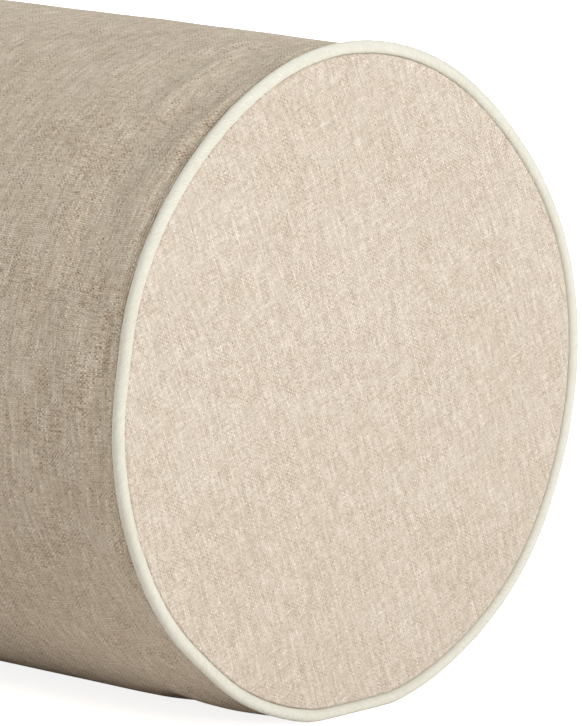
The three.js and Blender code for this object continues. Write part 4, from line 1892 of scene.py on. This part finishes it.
@dataclass(frozen=True)
class Piping:
    """A bias strip folded round a twisted filler cord and caught in the seam.

    Attributes:
        form: the bolster's form.
        give: the cover's small departures from it.
        finishes: the bolster's materials.
        side: which end it edges.
        join_angle: where the strip's two ends are joined.
    """

    form: Form
    give: Give
    finishes: Finishes
    side: Side
    join_angle: float = math.radians(-62)

    def _ring(self, columns: int) -> Array:
        """Angles round the ring, from the strip's join."""
        return self.join_angle + np.arange(columns) * TAU / columns

    def _placed(self, x: Array, radius: Array, angle: Array) -> Array:
        """Puts points of a ring of piping in the frame."""
        x, radius = self.give.wandered(x * self.side.value, radius, angle)
        return self.form.settle(turned(x, radius, angle))

    def sleeve(self) -> None:
        """Builds the bias strip, with small drag lines and the ridge of its slanting join."""
        form = self.form
        path = Path(form.bias_strip() + [form.seam_x, form.seam_radius], 0.25 * MM)
        stations = np.linspace(0, path.length, 48)
        line, normal = path.at(stations), path.normal(stations)
        angle = self._ring(440)[:, None]
        seed = 50 + int(self.side.value)
        along = (angle - self.join_angle) * form.piping_ring
        slanted = angle + (stations - path.length / 2) * 0.8 / form.piping_ring
        drag = 0.045 * MM * ripples(slanted, (88, 117, 149), seed)
        drag = drag + 0.05 * MM * ripples(angle, (21, 34, 47), seed + 2)
        ring_length = TAU * form.piping_ring
        to_join = along - (stations - path.length / 2) - 9 * MM
        ridge = 0.22 * MM * bell(np.minimum(np.abs(to_join), ring_length - np.abs(to_join)), 1.1 * MM)
        on_cord = eased(stations, form.allowance, form.allowance + 2 * MM)
        on_cord = on_cord * eased(path.length - stations, form.allowance, form.allowance + 2 * MM)
        out = -(drag + ridge) * on_cord
        middle = np.array([form.seam_x, form.seam_radius]) - form.piping_inset
        if ((line[24] - middle) * normal[24]).sum() > 0:
            out = -out
        points = self._placed(line[:, 0] + normal[:, 0] * out, line[:, 1] + normal[:, 1] * out, angle)
        run = np.append(along[:, 0], ring_length)
        cloth = stacked(run[:, None], stations[None, :])
        name = self.side.label
        surface = Surface().grid(points, round_rows=True, cloth=cloth)
        piece = surface.build(f"piping_{name}", thickness=form.piping_cloth)
        hand_in(piece, self.finishes.piping, stands_for=(f"piping_sleeve_{name}",))

    def filler(self) -> None:
        """Builds the filler cord: three strands laid round each other.

        The section's radius is that of three lobes, which turn as the cord goes round.
        """
        form = self.form
        angle = self._ring(900)[:, None]
        turn = np.arange(18) * TAU / 18
        strands, lays = 3, 88
        lobe = np.abs(np.cos(strands / 2 * (turn + angle * lays)))
        reach = (form.piping_radius - form.piping_cloth - 0.08 * MM) * (0.8 + 0.2 * lobe)
        x = form.seam_x - form.piping_inset + reach * np.cos(turn)
        points = self._placed(x, form.piping_ring + reach * np.sin(turn), angle)
        name = self.side.label
        piece = Surface().grid(points, round_rows=True, round_columns=True).build(f"piping_filler_{name}")
        hand_in(piece, self.finishes.filler, stands_for=(f"piping_cord_{name}",))


# ---- The insert ----


@dataclass(frozen=True)
class Insert:
    """The loose insert: a foam core wrapped in batting and sewn into a muslin liner.

    Attributes:
        form: the bolster's form.
        finishes: the bolster's materials.
        cloth: the liner cloth's thickness.
        allowance: the liner's seam allowance.
        gap: the play between layers.
        columns: points round the insert.
    """

    form: Form
    finishes: Finishes
    cloth: float = 0.6 * MM
    allowance: float = 4 * MM
    gap: float = 0.3 * MM
    columns: int = 180

    def build(self) -> None:
        """Builds every layer."""
        self._liner_tube()
        for side in (Side.RIGHT, Side.LEFT):
            self._liner_end(side)
            self._batting_end(side)
        self._batting_wrap()
        self._foam_core()

    @property
    def corner(self) -> Array:
        """The middle of the insert's rounded corner, as (x, radius)."""
        return np.array([self.form.liner_half, self.form.liner_radius]) - self.form.liner_corner

    def _corner_line(self, start: float, side: int) -> Array:
        """The liner's middle line round the corner to the seam, then in along the allowance.

        Args:
            start: the angle at which the corner begins.
            side: 1 for the tube, whose seam lies past the corner's middle, -1 for an end.

        Returns:
            The points, as (x, radius).
        """
        radius = self.form.liner_corner - self.cloth / 2
        seam = math.pi / 4 + side * math.asin((self.cloth + self.gap / 2) / 2 / radius)
        angle = np.linspace(start, seam, 8)
        bend = self.corner + radius * circle(angle)
        return np.vstack([bend, bend[-1] - self.allowance * math.sqrt(0.5)])

    def _turned(
        self, line: Array, side: int = 1, sag: float = 0, seed: int = 0
    ) -> tuple[Array, Array]:
        """Turns a line of (x, radius) points about the axis and lets it settle.

        Args:
            line: the points.
            side: 1 for the right end, -1 for the left.
            sag: how far the layer's lumps press it in.
            seed: picks the lumps.

        Returns:
            The points, rows by columns, and their cloth coordinates.
        """
        angle = np.arange(self.columns) * TAU / self.columns
        drift = np.stack([ripples(angle, (2, 5, 9, 14), seed + k) for k in range(4)])
        place = np.linspace(0, 3, len(line))
        low = np.minimum(place.astype(int), 2)
        lumps = drift[low] * (1 - (place - low))[:, None] + drift[low + 1] * (place - low)[:, None]
        radius = line[:, 1:] - sag * (0.5 + 0.5 * lumps) * (line[:, 1:] > self.form.core_radius + 2 * MM)
        points = self.form.settle(turned(side * line[:, :1], radius, angle), behind_zip=True)
        lengths = np.concatenate([[0.0], np.cumsum(np.linalg.norm(np.diff(line, axis=0), axis=1))])
        run = np.append(angle, TAU) * self.form.liner_radius
        return points, stacked(lengths[:, None], run[None, :])

    def _liner_tube(self) -> None:
        """Builds the liner's tube, turned in at both ends."""
        half = self._corner_line(math.pi / 2, 1)
        path = Path(np.vstack([half[::-1] * [-1, 1], half]), 0.4 * MM)
        stations = graded(
            lambda at: table(np.minimum(at, path.length - at), (0, 30, 70), (1.4, 3, 12)), 0, path.length
        )
        points, cloth = self._turned(path.at(stations), sag=0.4 * MM, seed=61)
        surface = Surface().grid(points, round_columns=True, cloth=cloth)
        piece = surface.build("liner_tube_cloth", thickness=self.cloth)
        hand_in(piece, self.finishes.muslin, stands_for=("liner_tube",))

    def _liner_end(self, side: Side) -> None:
        """Builds one of the liner's round ends.

        Args:
            side: which end it closes.
        """
        form = self.form
        rim = form.liner_half - self.cloth / 2
        radii = np.linspace(0, self.corner[1], 10)[:-1]
        face = np.column_stack([rim + form.crowned(radii) - form.crowned(self.corner[1]), radii])
        path = Path(np.vstack([face, self._corner_line(0, -1)]), 0.4 * MM)
        stations = graded(
            lambda at: table(path.length - at, (0, 25, 80), (1.2, 2.5, 6)), 2 * MM, path.length
        )
        line = path.at(stations)
        points, _ = self._turned(line, int(side.value))
        angle = np.append(np.arange(self.columns), self.columns) * TAU / self.columns
        cloth = stations[:, None, None] * circle(angle)
        name = side.label
        surface = Surface().grid(points, round_columns=True, poles=(True, False), cloth=cloth)
        piece = surface.build(f"liner_end_cloth_{name}", thickness=self.cloth)
        hand_in(piece, self.finishes.muslin, stands_for=(f"liner_end_{name}",))

    def _batting_wrap(self) -> None:
        """Builds the batting rolled round the core, lumpy outside and plain inside."""
        form = self.form
        clear = form.liner_corner - self.cloth - 3 * self.gap
        reach = math.sqrt(clear**2 - (form.core_half - self.corner[0]) ** 2)
        outer = form.liner_radius - self.cloth - self.gap
        inner = form.core_radius + self.gap
        half = form.core_half
        x = graded(lambda at: table(half - np.abs(at), (0, 30), (2, 12)), -half, half)
        shoulder = np.sqrt(np.maximum(clear**2 - np.maximum(np.abs(x) - self.corner[0], 0) ** 2, reach**2))
        skin = np.column_stack([x, np.minimum(self.corner[1] + shoulder, outer)])
        bore = np.column_stack([x[::-4], np.full(len(x[::-4]), inner)])
        points, _ = self._turned(np.vstack([skin, bore]), sag=0.8 * MM, seed=71)
        surface = Surface().grid(points, round_rows=True, round_columns=True)
        piece = surface.build("batting_roll", crease=math.radians(50))
        hand_in(piece, self.finishes.batting, stands_for=("batting_wrap",))

    def _batting_end(self, side: Side) -> None:
        """Builds the pad of batting over one end of the core.

        Args:
            side: which end it covers.
        """
        form = self.form
        back = form.core_half + self.gap
        rim = form.liner_half - self.cloth - self.gap
        radii = np.linspace(0, self.corner[1], 14)
        face = np.column_stack([rim + form.crowned(radii) - form.crowned(self.corner[1]), radii])
        behind = [back, self.corner[1] + 0.6 * form.liner_corner], [back, 0.0]
        path = Path(np.vstack([face, *behind]), 1.0 * MM)
        line = path.at(np.linspace(2 * MM, path.length - 2 * MM, 60))
        points, _ = self._turned(line, int(side.value), sag=0.5 * MM, seed=81)
        name = side.label
        piece = Surface().solid(points).build(f"batting_pad_{name}")
        hand_in(piece, self.finishes.batting, stands_for=(f"batting_end_{name}",))

    def _foam_core(self) -> None:
        """Builds the foam core, a cylinder with eased edges."""
        form = self.form
        half, radius = form.core_half, form.core_radius
        path = Path(np.array([(-half, 0), (-half, radius), (half, radius), (half, 0)]), 1.6 * MM)

        def spacing(at: Array) -> Array:
            """The spacing at some lengths along the path: close at the two edges."""
            return table(np.abs(np.minimum(at, path.length - at) - radius), (0, 5, 40), (0.9, 2, 9))

        stations = graded(spacing, 3 * MM, path.length - 3 * MM)
        line = np.minimum(path.at(stations), [half, radius])
        points, _ = self._turned(line)
        piece = Surface().solid(points).build("foam_cylinder")
        hand_in(piece, self.finishes.foam, stands_for=("foam_core",))


# ---- The zip ----


@dataclass(frozen=True)
class ZipSizes:
    """The zip's sizes, in its own frame: x along it, y down the back and z out from the axis."""

    tape_half_length: float = 269 * MM
    tape_edge: float = 0.25 * MM
    tape_width: float = 15.25 * MM
    tape_top: float = 112.4 * MM
    tape_thickness: float = 0.6 * MM
    coil_base: float = 112.7 * MM
    coil_top: float = 114.3 * MM
    coil_width: float = 3 * MM
    coil_pitch: float = 1.5 * MM
    wire: float = 0.27 * MM
    slider_x: float = -238 * MM
    slider_half: float = 6.2 * MM
    nose_half: float = 4.6 * MM
    tail_half: float = 3.95 * MM
    plate: float = 1.2 * MM
    plate_base: float = 114.6 * MM
    under_plate_top: float = 111.5 * MM
    hinge_x: float = -0.3 * MM
    hinge_height: float = 117 * MM
    bridge_top: float = 119.1 * MM
    bottom_stop_x: float = 244 * MM
    droop: float = math.radians(3.5)
    divider: float = 3 * MM
    open_share: float = 0.85
    stretches: tuple[tuple[float, float], ...] = (
        (200 * MM, 0.85),
        (210 * MM, 0.88),
        (220 * MM, 0.905),
        (236.3 * MM, 0.925),
        (244 * MM, 1.0),
    )

    @property
    def nose_x(self) -> float:
        """Where the slider's nose lies at rest."""
        return self.slider_x - self.slider_half

    @property
    def top_stop_x(self) -> float:
        """Where the top stops begin."""
        return self.nose_x - 2.9 * MM


@dataclass(frozen=True)
class Zip:
    """The zip: two tapes with coils, four stops, a slider and its pull.

    Attributes:
        form: the bolster's form.
        finishes: the bolster's materials.
        sizes: the zip's own sizes.
    """

    form: Form
    finishes: Finishes
    sizes: ZipSizes = ZipSizes()

    def build(self) -> None:
        """Builds every piece of the zip."""
        for side in (Half.UPPER, Half.LOWER):
            self._tape(side)
            self._coil(side)
            self._top_stop(side)
        self._bottom_stop()
        self._slider()
        self._pull()

    def _placed(self, points: Array) -> Array:
        """Turns points from the zip's frame into the bolster's.

        Args:
            points: points as (along, down, out).

        Returns:
            The points in the frame.
        """
        down, out = self._directions()
        x = points[..., :1] * [1.0, 0.0, 0.0]
        return x + points[..., 1:2] * down + points[..., 2:] * out + [0, 0, self.form.axis_height]

    def _directions(self) -> tuple[Array, Array]:
        """The directions down the back and out from the axis at the zip.

        Returns:
            The two unit vectors.
        """
        angle = self.form.zip_angle
        down = np.array([0, math.sin(angle), -math.cos(angle)])
        return down, np.array([0, math.cos(angle), math.sin(angle)])

    def _parting(self, piece: Piece, side: Half) -> None:
        """Gives a piece of one half of the zip its own copy of its mesh. It works out the point on the half's
        sewn edge, but does not move the piece.

        Args:
            piece: the piece.
            side: its half of the zip.
        """
        down, out = self._directions()
        edge = side.value * (self.sizes.tape_edge + self.sizes.tape_width)
        anchor = edge * down + self.sizes.tape_top * out + [0, 0, self.form.axis_height]
        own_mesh(piece)

    def _tape(self, side: Half) -> None:
        """Builds one tape: a band that follows the barrel, its inner edge notched for the stops.

        Args:
            side: its half of the zip.
        """
        s = self.sizes
        x = graded(
            lambda at: table(245 * MM - np.abs(at), (-20, -4, 6, 20), (3, 0.8, 0.8, 6)),
            -s.tape_half_length,
            s.tape_half_length,
        )
        parted, foot = s.nose_x + s.divider, s.bottom_stop_x
        nose = eased(x, s.top_stop_x - 0.8 * MM, s.top_stop_x) * (1 - eased(x, parted, parted + 0.8 * MM))
        stop = eased(x, foot - 0.8 * MM, foot - 0.2 * MM) * (1 - eased(x, foot + 4.2 * MM, foot + 5 * MM))
        inner = s.tape_edge + 1.1 * MM * nose + 0.65 * MM * stop
        upper = np.linspace(1, 0, 16)
        share = np.concatenate([upper, upper[::-1]])
        eased_edge = np.where(np.abs(share - 0.5) > 0.499, 0.45, 1)
        height = np.repeat([1.0, -1.0], 16) * s.tape_thickness / 2 * eased_edge
        y = inner[:, None] + share * (s.tape_edge + s.tape_width - inner[:, None])
        ripple = 0.05 * MM * np.sin(x[:, None] / (23 * MM) + side.value) * eased(share, 0.2, 1)
        radius = s.tape_top - s.tape_thickness / 2 + height - np.abs(ripple)
        turn = y / s.tape_top
        points = stacked(x[:, None], side.value * radius * np.sin(turn), radius * np.cos(turn))
        cloth = stacked(x[:, None], np.concatenate([y, y[:, :1]], axis=1))
        name = side.label
        surface = Surface().grid(self._placed(points), round_columns=True, poles=(True, True), cloth=cloth)
        piece = surface.build(f"zip_tape_{name}", crease=math.radians(60))
        hand_in(piece, self.finishes.tape, stands_for=(f"zipper_tape_{name}",))
        self._parting(piece, side)

    def _coil(self, side: Half) -> None:
        """Builds one coil: a wire wound in flat loops, one for each tooth.

        A loop's legs lie one above the other, its head reaches past the middle between the other
        coil's heads, and the wire moves on by a pitch round the loop's outer end. The coil is made in
        stretches, each its own piece.

        Args:
            side: its half of the zip.
        """
        s = self.sizes
        start, end = s.nose_x, s.bottom_stop_x - 0.3 * MM
        loops = int((end - start) / s.coil_pitch) - 1
        phase = np.arange(loops * 14 + 1) / 14
        turn = (phase % 1) * TAU
        step = eased(np.abs((phase % 1) - 0.5), 0.36, 0.5) * np.sign((phase % 1) - 0.5) / 2
        tooth = np.floor(phase) + 0.5 + step + (0.5 if side is Half.LOWER else 0.0)
        x = start + 0.4 * MM + tooth * s.coil_pitch * (end - start - 1.2 * MM) / (end - start)
        head = -0.42 * MM
        outer = s.coil_width - s.wire
        squared = np.sign(np.cos(turn)) * np.abs(np.cos(turn)) ** 0.7
        y = (outer + head) / 2 + squared * (outer - head) / 2
        rise = (s.coil_top - s.coil_base) / 2 - s.wire
        z = (s.coil_top + s.coil_base) / 2 + rise * np.sign(np.sin(turn)) * np.abs(np.sin(turn)) ** 0.6
        parted = 1 - eased(x, s.nose_x + s.divider - 1.5 * MM, s.nose_x + s.divider + 2 * MM)
        y = y + 1.35 * MM * parted * (1 - 0.6 * (y - head) / (outer - head))
        path = np.column_stack([x, y, z])
        angle = np.arange(6) * TAU / 6
        section = s.wire * circle(angle)
        flare = 1 + 0.3 * bell(turn - math.pi, 0.5)
        section = section * np.stack([flare, np.ones_like(flare)], axis=1)[:, None]
        points = swept(path, section, (1, 0, 0)) * [1, side.value, 1]
        name = side.label
        first = 0
        for number, (until, keep) in enumerate(s.stretches):
            last = min(int((until - start) / (end - start) * loops), loops)
            stretch = self._placed(points[first * 14 : last * 14 + 1])
            piece = Surface().solid(stretch).build(f"zip_coil_{name}" + (f"_{number}" if number else ""))
            nodes = () if number else (f"zipper_coil_{name}",)
            hand_in(piece, self.finishes.coil, stands_for=nodes)
            if keep < 1:
                self._parting(piece, side)
            first = last

    def _clip(self, line: Array, start: float, length: float, name: str) -> Piece:
        """Builds a bent metal clip: a strap whose middle line lies across the zip.

        Args:
            line: the middle line, as (down, out).
            start: where the clip begins along the zip.
            length: its length along the zip.
            name: its name.

        Returns:
            The piece.
        """
        path = Path(line, 0.35 * MM)
        along = path.at(np.linspace(0, path.length, 40))
        points = np.column_stack([np.full(len(along), start + length / 2), along])
        grid = swept(points, rounded_section(length, 0.6 * MM, 0.18 * MM), (1, 0, 0))
        return Surface().solid(self._placed(grid)).build(name, crease=math.radians(50))

    def _top_stop(self, side: Half) -> None:
        """Builds the clip over one tape's edge above the slider.

        Args:
            side: its half of the zip.
        """
        s = self.sizes
        over, under = s.coil_top - 0.45 * MM, s.under_plate_top - 0.3 * MM
        line = [(3.3 * MM, over), (0.8 * MM, over), (0.8 * MM, under), (3.3 * MM, under)]
        name = side.label
        piece = self._clip(np.array(line) * [side.value, 1], s.top_stop_x, 2.6 * MM, f"zip_top_stop_{name}")
        hand_in(piece, self.finishes.metal, stands_for=(f"zipper_top_stop_{name}",))
        self._parting(piece, side)

    def _bottom_stop(self) -> None:
        """Builds the clip that holds the two tapes together at the foot of the zip."""
        s = self.sizes
        over, under = s.coil_top - 0.2 * MM, s.under_plate_top - 0.3 * MM
        surface = Surface()
        middle, width = s.bottom_stop_x + 2 * MM, 3.4 * MM
        y = np.linspace(-width, width, 15)
        for height, inwards in ((over, -1), (under, 1)):
            path = stacked(middle, y, height + inwards * 0.5 * MM * (y / width) ** 4)
            grid = swept(path, rounded_section(4 * MM, 0.6 * MM, 0.2 * MM), (1, 0, 0))
            surface.solid(self._placed(grid))
        post = stacked(middle, 0.0, np.linspace(under, over, 5))
        surface.solid(self._placed(swept(post, rounded_section(3.4 * MM, 1.2 * MM, 0.2 * MM), (1, 0, 0))))
        piece = surface.build("zip_bottom_stop", crease=math.radians(50))
        hand_in(piece, self.finishes.metal, stands_for=("zipper_bottom_stop",))

    @staticmethod
    def _outline(corners: Array, softness: float, count: int) -> Array:
        """Even points round a closed outline whose corners are softened."""
        closed = Path(corners, softness, closed=True)
        return closed.at(np.linspace(0, closed.length, count + 1)[:-1])

    @staticmethod
    def _mirrored(half: list[tuple[float, float]]) -> Array:
        """The corners of an outline from those on one side of the zip's middle."""
        return np.array(half + [(x, -y) for x, y in reversed(half)])

    def _slider(self) -> None:
        """Builds the slider: two plates, the divider between them, two flanges and the bridge."""
        s = self.sizes
        half, nose, tail = s.slider_half, s.nose_half, s.tail_half
        move = np.array([s.slider_x, 0, 0])
        corners = [(-half, 2.6 * MM), (-half + 0.7 * MM, nose - 0.5 * MM), (-half + 1.9 * MM, nose)]
        corners += [(half - 4 * MM, tail), (half - 0.8 * MM, tail), (half, tail - 0.8 * MM)]
        outline = self._outline(self._mirrored(corners), 0.45 * MM, 96)
        wedge = np.array([(-5.9, -0.45), (-5.3, -0.45), (-4.8, 0), (-5.3, 0.45), (-5.9, 0.45)]) * MM
        divider = self._outline(wedge, 0.12 * MM, 40)
        under, over = s.under_plate_top, s.plate_base
        surface = Surface()
        for plate in (
            bevelled_plate(outline, over, over + s.plate * 0.75, 0.35 * MM, 0.3 * MM),
            bevelled_plate(outline, under - s.plate * 0.9, under, 0.35 * MM),
            bevelled_plate(divider, under - 0.2 * MM, over + 0.2 * MM, 0.05 * MM),
        ):
            surface.solid(self._placed(plate + move))
        low, high = s.coil_base + 0.1 * MM, s.plate_base + 0.3 * MM
        for side in (-1, 1):
            x = np.linspace(-half + 3.4 * MM, half - 0.8 * MM, 24)
            y = np.interp(x, [-half + 1.9 * MM, half - 4 * MM], [nose, tail]) - 0.4 * MM
            path = np.column_stack([x, side * y, np.full(len(x), (low + high) / 2)])
            flange = swept(path, rounded_section(0.7 * MM, high - low, 0.2 * MM), (0, 1, 0))
            surface.solid(self._placed(flange + move))
        foot, top, reach = s.plate_base + s.plate - 0.4 * MM, s.bridge_top - 0.5 * MM, 3.1 * MM
        arch = Path(np.array([(-reach, foot), (-reach, top), (reach, top), (reach, foot)]), 0.55 * MM)
        line = arch.at(np.linspace(0, arch.length, 48))
        path = np.column_stack([line[:, 0], np.zeros(len(line)), line[:, 1]])
        bridge = swept(path, rounded_section(2.4 * MM, 1 * MM, 0.3 * MM), (0, 1, 0))
        surface.solid(self._placed(bridge + move))
        piece = surface.build("zip_slider", crease=math.radians(50))
        hand_in(piece, self.finishes.metal, body="slider", stands_for=("zipper_slider",))

    def _pull(self) -> None:
        """Builds the pull: a loop round the bridge and a waisted tab with a hole near its tip."""
        loop = np.array([(0, -2.35), (0, 2.35), (6.6, 2.35), (6.6, -2.35)]) * MM
        line = self._outline(loop, 0.7 * MM, 80)
        path = np.column_stack([line, np.zeros(len(line))])
        strap = swept(path, rounded_section(1.2 * MM, 1.3 * MM, 0.35 * MM), (0, 0, 1), closed=True)
        surface = Surface()
        for grid in (strap, self._tab()):
            surface.grid(self._hung(grid), round_rows=True, round_columns=True)
        piece = surface.build("zip_pull", crease=math.radians(50))
        hand_in(piece, self.finishes.metal, body="pull", stands_for=("zipper_pull_tab",))

    def _tab(self) -> Array:
        """The tab, as rings that go from its hole out over the top, round the edge and back below.

        A ring's distance from the hole's middle is worked out by bearing. The edges are quarter-rounds.

        Returns:
            Rings x 96 x 3, which close both ways.
        """
        hole_x, hole = 20 * MM, 1.3 * MM
        half, edge = 0.6 * MM, 0.3 * MM
        corners = [(6.2, 2.6), (7, 2.8), (10, 2.2), (17, 2.6), (21, 3.2), (23.1, 2.4), (24, 1)]
        outline = Path(self._mirrored(corners) * MM, 0.5 * MM, closed=True)
        away = outline.points - [hole_x, 0]
        bearing = np.arctan2(away[:, 1], away[:, 0])
        order = np.argsort(bearing)
        angle = np.linspace(-math.pi, math.pi, 97)[:-1]
        reach = np.interp(angle, bearing[order], np.linalg.norm(away, axis=1)[order], period=TAU)
        turn = np.linspace(0, math.pi / 2, 4)[:, None]
        short, long = edge * (1 - np.cos(turn)), edge * (1 - np.sin(turn))
        near, far = np.tile(hole + short, len(angle)), reach - long
        middle = near[-1] + (far[0] - near[-1]) * np.array([[0.33], [0.66]])
        distance = np.concatenate([near, middle, far])
        height = np.concatenate([half - long, [[half], [half]], half - short])
        distance = np.concatenate([distance, distance[::-1]])
        height = np.concatenate([height, -height[::-1]])
        return stacked(hole_x + distance * np.cos(angle), distance * np.sin(angle), height)

    def _hung(self, points: Array) -> Array:
        """Hangs the pull's points on the slider's bridge with the pull's small droop.

        Args:
            points: points about the hinge, x towards the tab's tip.

        Returns:
            The points in the frame.
        """
        s = self.sizes
        x = points[..., 0] * math.cos(s.droop) + points[..., 2] * math.sin(s.droop)
        z = points[..., 2] * math.cos(s.droop) - points[..., 0] * math.sin(s.droop)
        hung = np.stack([x + s.slider_x + s.hinge_x, points[..., 1], z + s.hinge_height], axis=-1)
        return self._placed(hung)


# ---- The studio ----


@dataclass(frozen=True)
class Light:
    """One soft light.

    Attributes:
        name: its name.
        place: where it hangs.
        size: its side.
        power: its power in watts.
        colour: its colour.
    """

    name: str
    place: tuple[float, float, float]
    size: float
    power: float
    colour: tuple[float, float, float] = (1.0, 1.0, 1.0)

    def hang(self, aim: Vector) -> None:
        """Hangs the light and points it at the bolster.

        Args:
            aim: what it points at.
        """
        data = bpy.data.lights.new(self.name, "AREA")
        data.shape = "SQUARE"
        data.size = self.size
        data.energy = self.power
        data.color = self.colour
        lamp = bpy.data.objects.new(self.name, data)
        bpy.context.scene.collection.objects.link(lamp)
        lamp.location = self.place
        lamp.rotation_euler = (aim - Vector(self.place)).to_track_quat("-Z", "Y").to_euler()


@dataclass(frozen=True)
class Studio:
    """A pale floor, soft lights and a camera near one end.

    Attributes:
        form: the bolster's form.
        stand_off: the camera's place from the middle of the right end, in piping ring radii.
        heading: the way that the camera looks, from +X towards +Y.
        dip: how far it looks down.
        lens: its lens, in millimetres.
    """

    form: Form
    stand_off: tuple[float, float, float] = (12.251, -13.393, 3.300)
    heading: float = math.radians(133.05)
    dip: float = math.radians(10.11)
    lens: float = 307.1

    def camera(self) -> None:
        """Sets up the camera."""
        data = bpy.data.cameras.new("camera")
        data.lens = self.lens
        data.sensor_width = 36
        data.clip_end = 100
        camera = bpy.data.objects.new("camera", data)
        bpy.context.scene.collection.objects.link(camera)
        end = Vector((self.form.seam_x, 0, self.form.axis_height))
        camera.location = end + Vector(self.stand_off) * self.form.piping_ring
        level = math.cos(self.dip)
        look = Vector((math.cos(self.heading) * level, math.sin(self.heading) * level, -math.sin(self.dip)))
        camera.rotation_euler = look.to_track_quat("-Z", "Y").to_euler()
        bpy.context.scene.camera = camera

    def light(self) -> None:
        """Hangs the lights and sets the room's own light."""
        aim = Vector((0.2, 0, self.form.axis_height))
        lights = (
            Light("key", (2.6, 0.25, 0.9), 1.2, 53, (0.94, 0.965, 0.99)),
            Light("overhead", (-0.2, -1.1, 2.3), 1.8, 43, (0.92, 0.97, 1.0)),
            Light("back fill", (-1.4, 2.2, 1.2), 1.6, 14),
        )
        for lamp in lights:
            lamp.hang(aim)
        world = bpy.data.worlds.new("room")
        world.use_nodes = True
        world.node_tree.nodes.clear()
        graph = Graph(world.node_tree)
        room = graph.add("Background", {0: (1.0, 0.89, 0.80, 1.0), 1: 0.235}).outputs[0]
        backdrop = graph.add("Background", {0: (1.0, 1.0, 1.0, 1.0), 1: 1.0}).outputs[0]
        seen = graph.add("LightPath").outputs["Is Camera Ray"]
        graph.add("OutputWorld", {0: graph.add("MixShader", {0: seen, 1: room, 2: backdrop}).outputs[0]})
        bpy.context.scene.world = world
        bpy.context.scene.view_settings.view_transform = "Standard"

    def floor(self, finishes: Finishes) -> None:
        """Lays the floor.

        Args:
            finishes: the bolster's materials.
        """
        reach = 14.0
        side = np.linspace(-reach, reach, 3)
        grid = stacked(side[:, None], side[None, :], -0.1 * MM)
        floor = Surface().grid(grid[:, ::-1]).build("floor", thickness=0.001)
        floor.modifiers.clear()
        floor.data.materials.append(finishes.floor)


def main() -> None:
    """Builds the bolster from the outside in, then the zip and the studio."""
    logging.basicConfig(level=logging.INFO, format="%(message)s")
    form = Form.from_frame()
    finishes = Finishes()
    studio = Studio(form)
    studio.camera()
    studio.light()
    studio.floor(finishes)
    seams = {
        Side.RIGHT: SeamLine(
            out=((45, 22, -3.0), (100, 20, 1.6), (170, 8, -1.1), (229, 8, -0.9), (318, 14, 1.0)),
            along=((70, 30, 0.5), (150, 20, -0.4), (230, 26, 0.4)),
        ),
        Side.LEFT: SeamLine(
            out=((20, 18, 0.9), (75, 16, -1.4), (128, 24, 0.8), (205, 12, -1.2), (310, 12, 0.6)),
            along=((40, 24, -0.4), (120, 26, 0.5), (215, 22, -0.5)),
        ),
    }
    skin = StuffedSkin(form, seams)
    give = skin.blown_out()
    barrel = BarrelPanel(form, give, finishes)
    barrel.cloth()
    barrel.stitching()
    for side in (Side.RIGHT, Side.LEFT):
        EndPanel(form, give, finishes, side).cloth()
        piping = Piping(form, give, finishes, side)
        piping.sleeve()
        piping.filler()
    Insert(form, finishes).build()
    Zip(form, finishes).build()


if __name__ == "__main__":
    main()
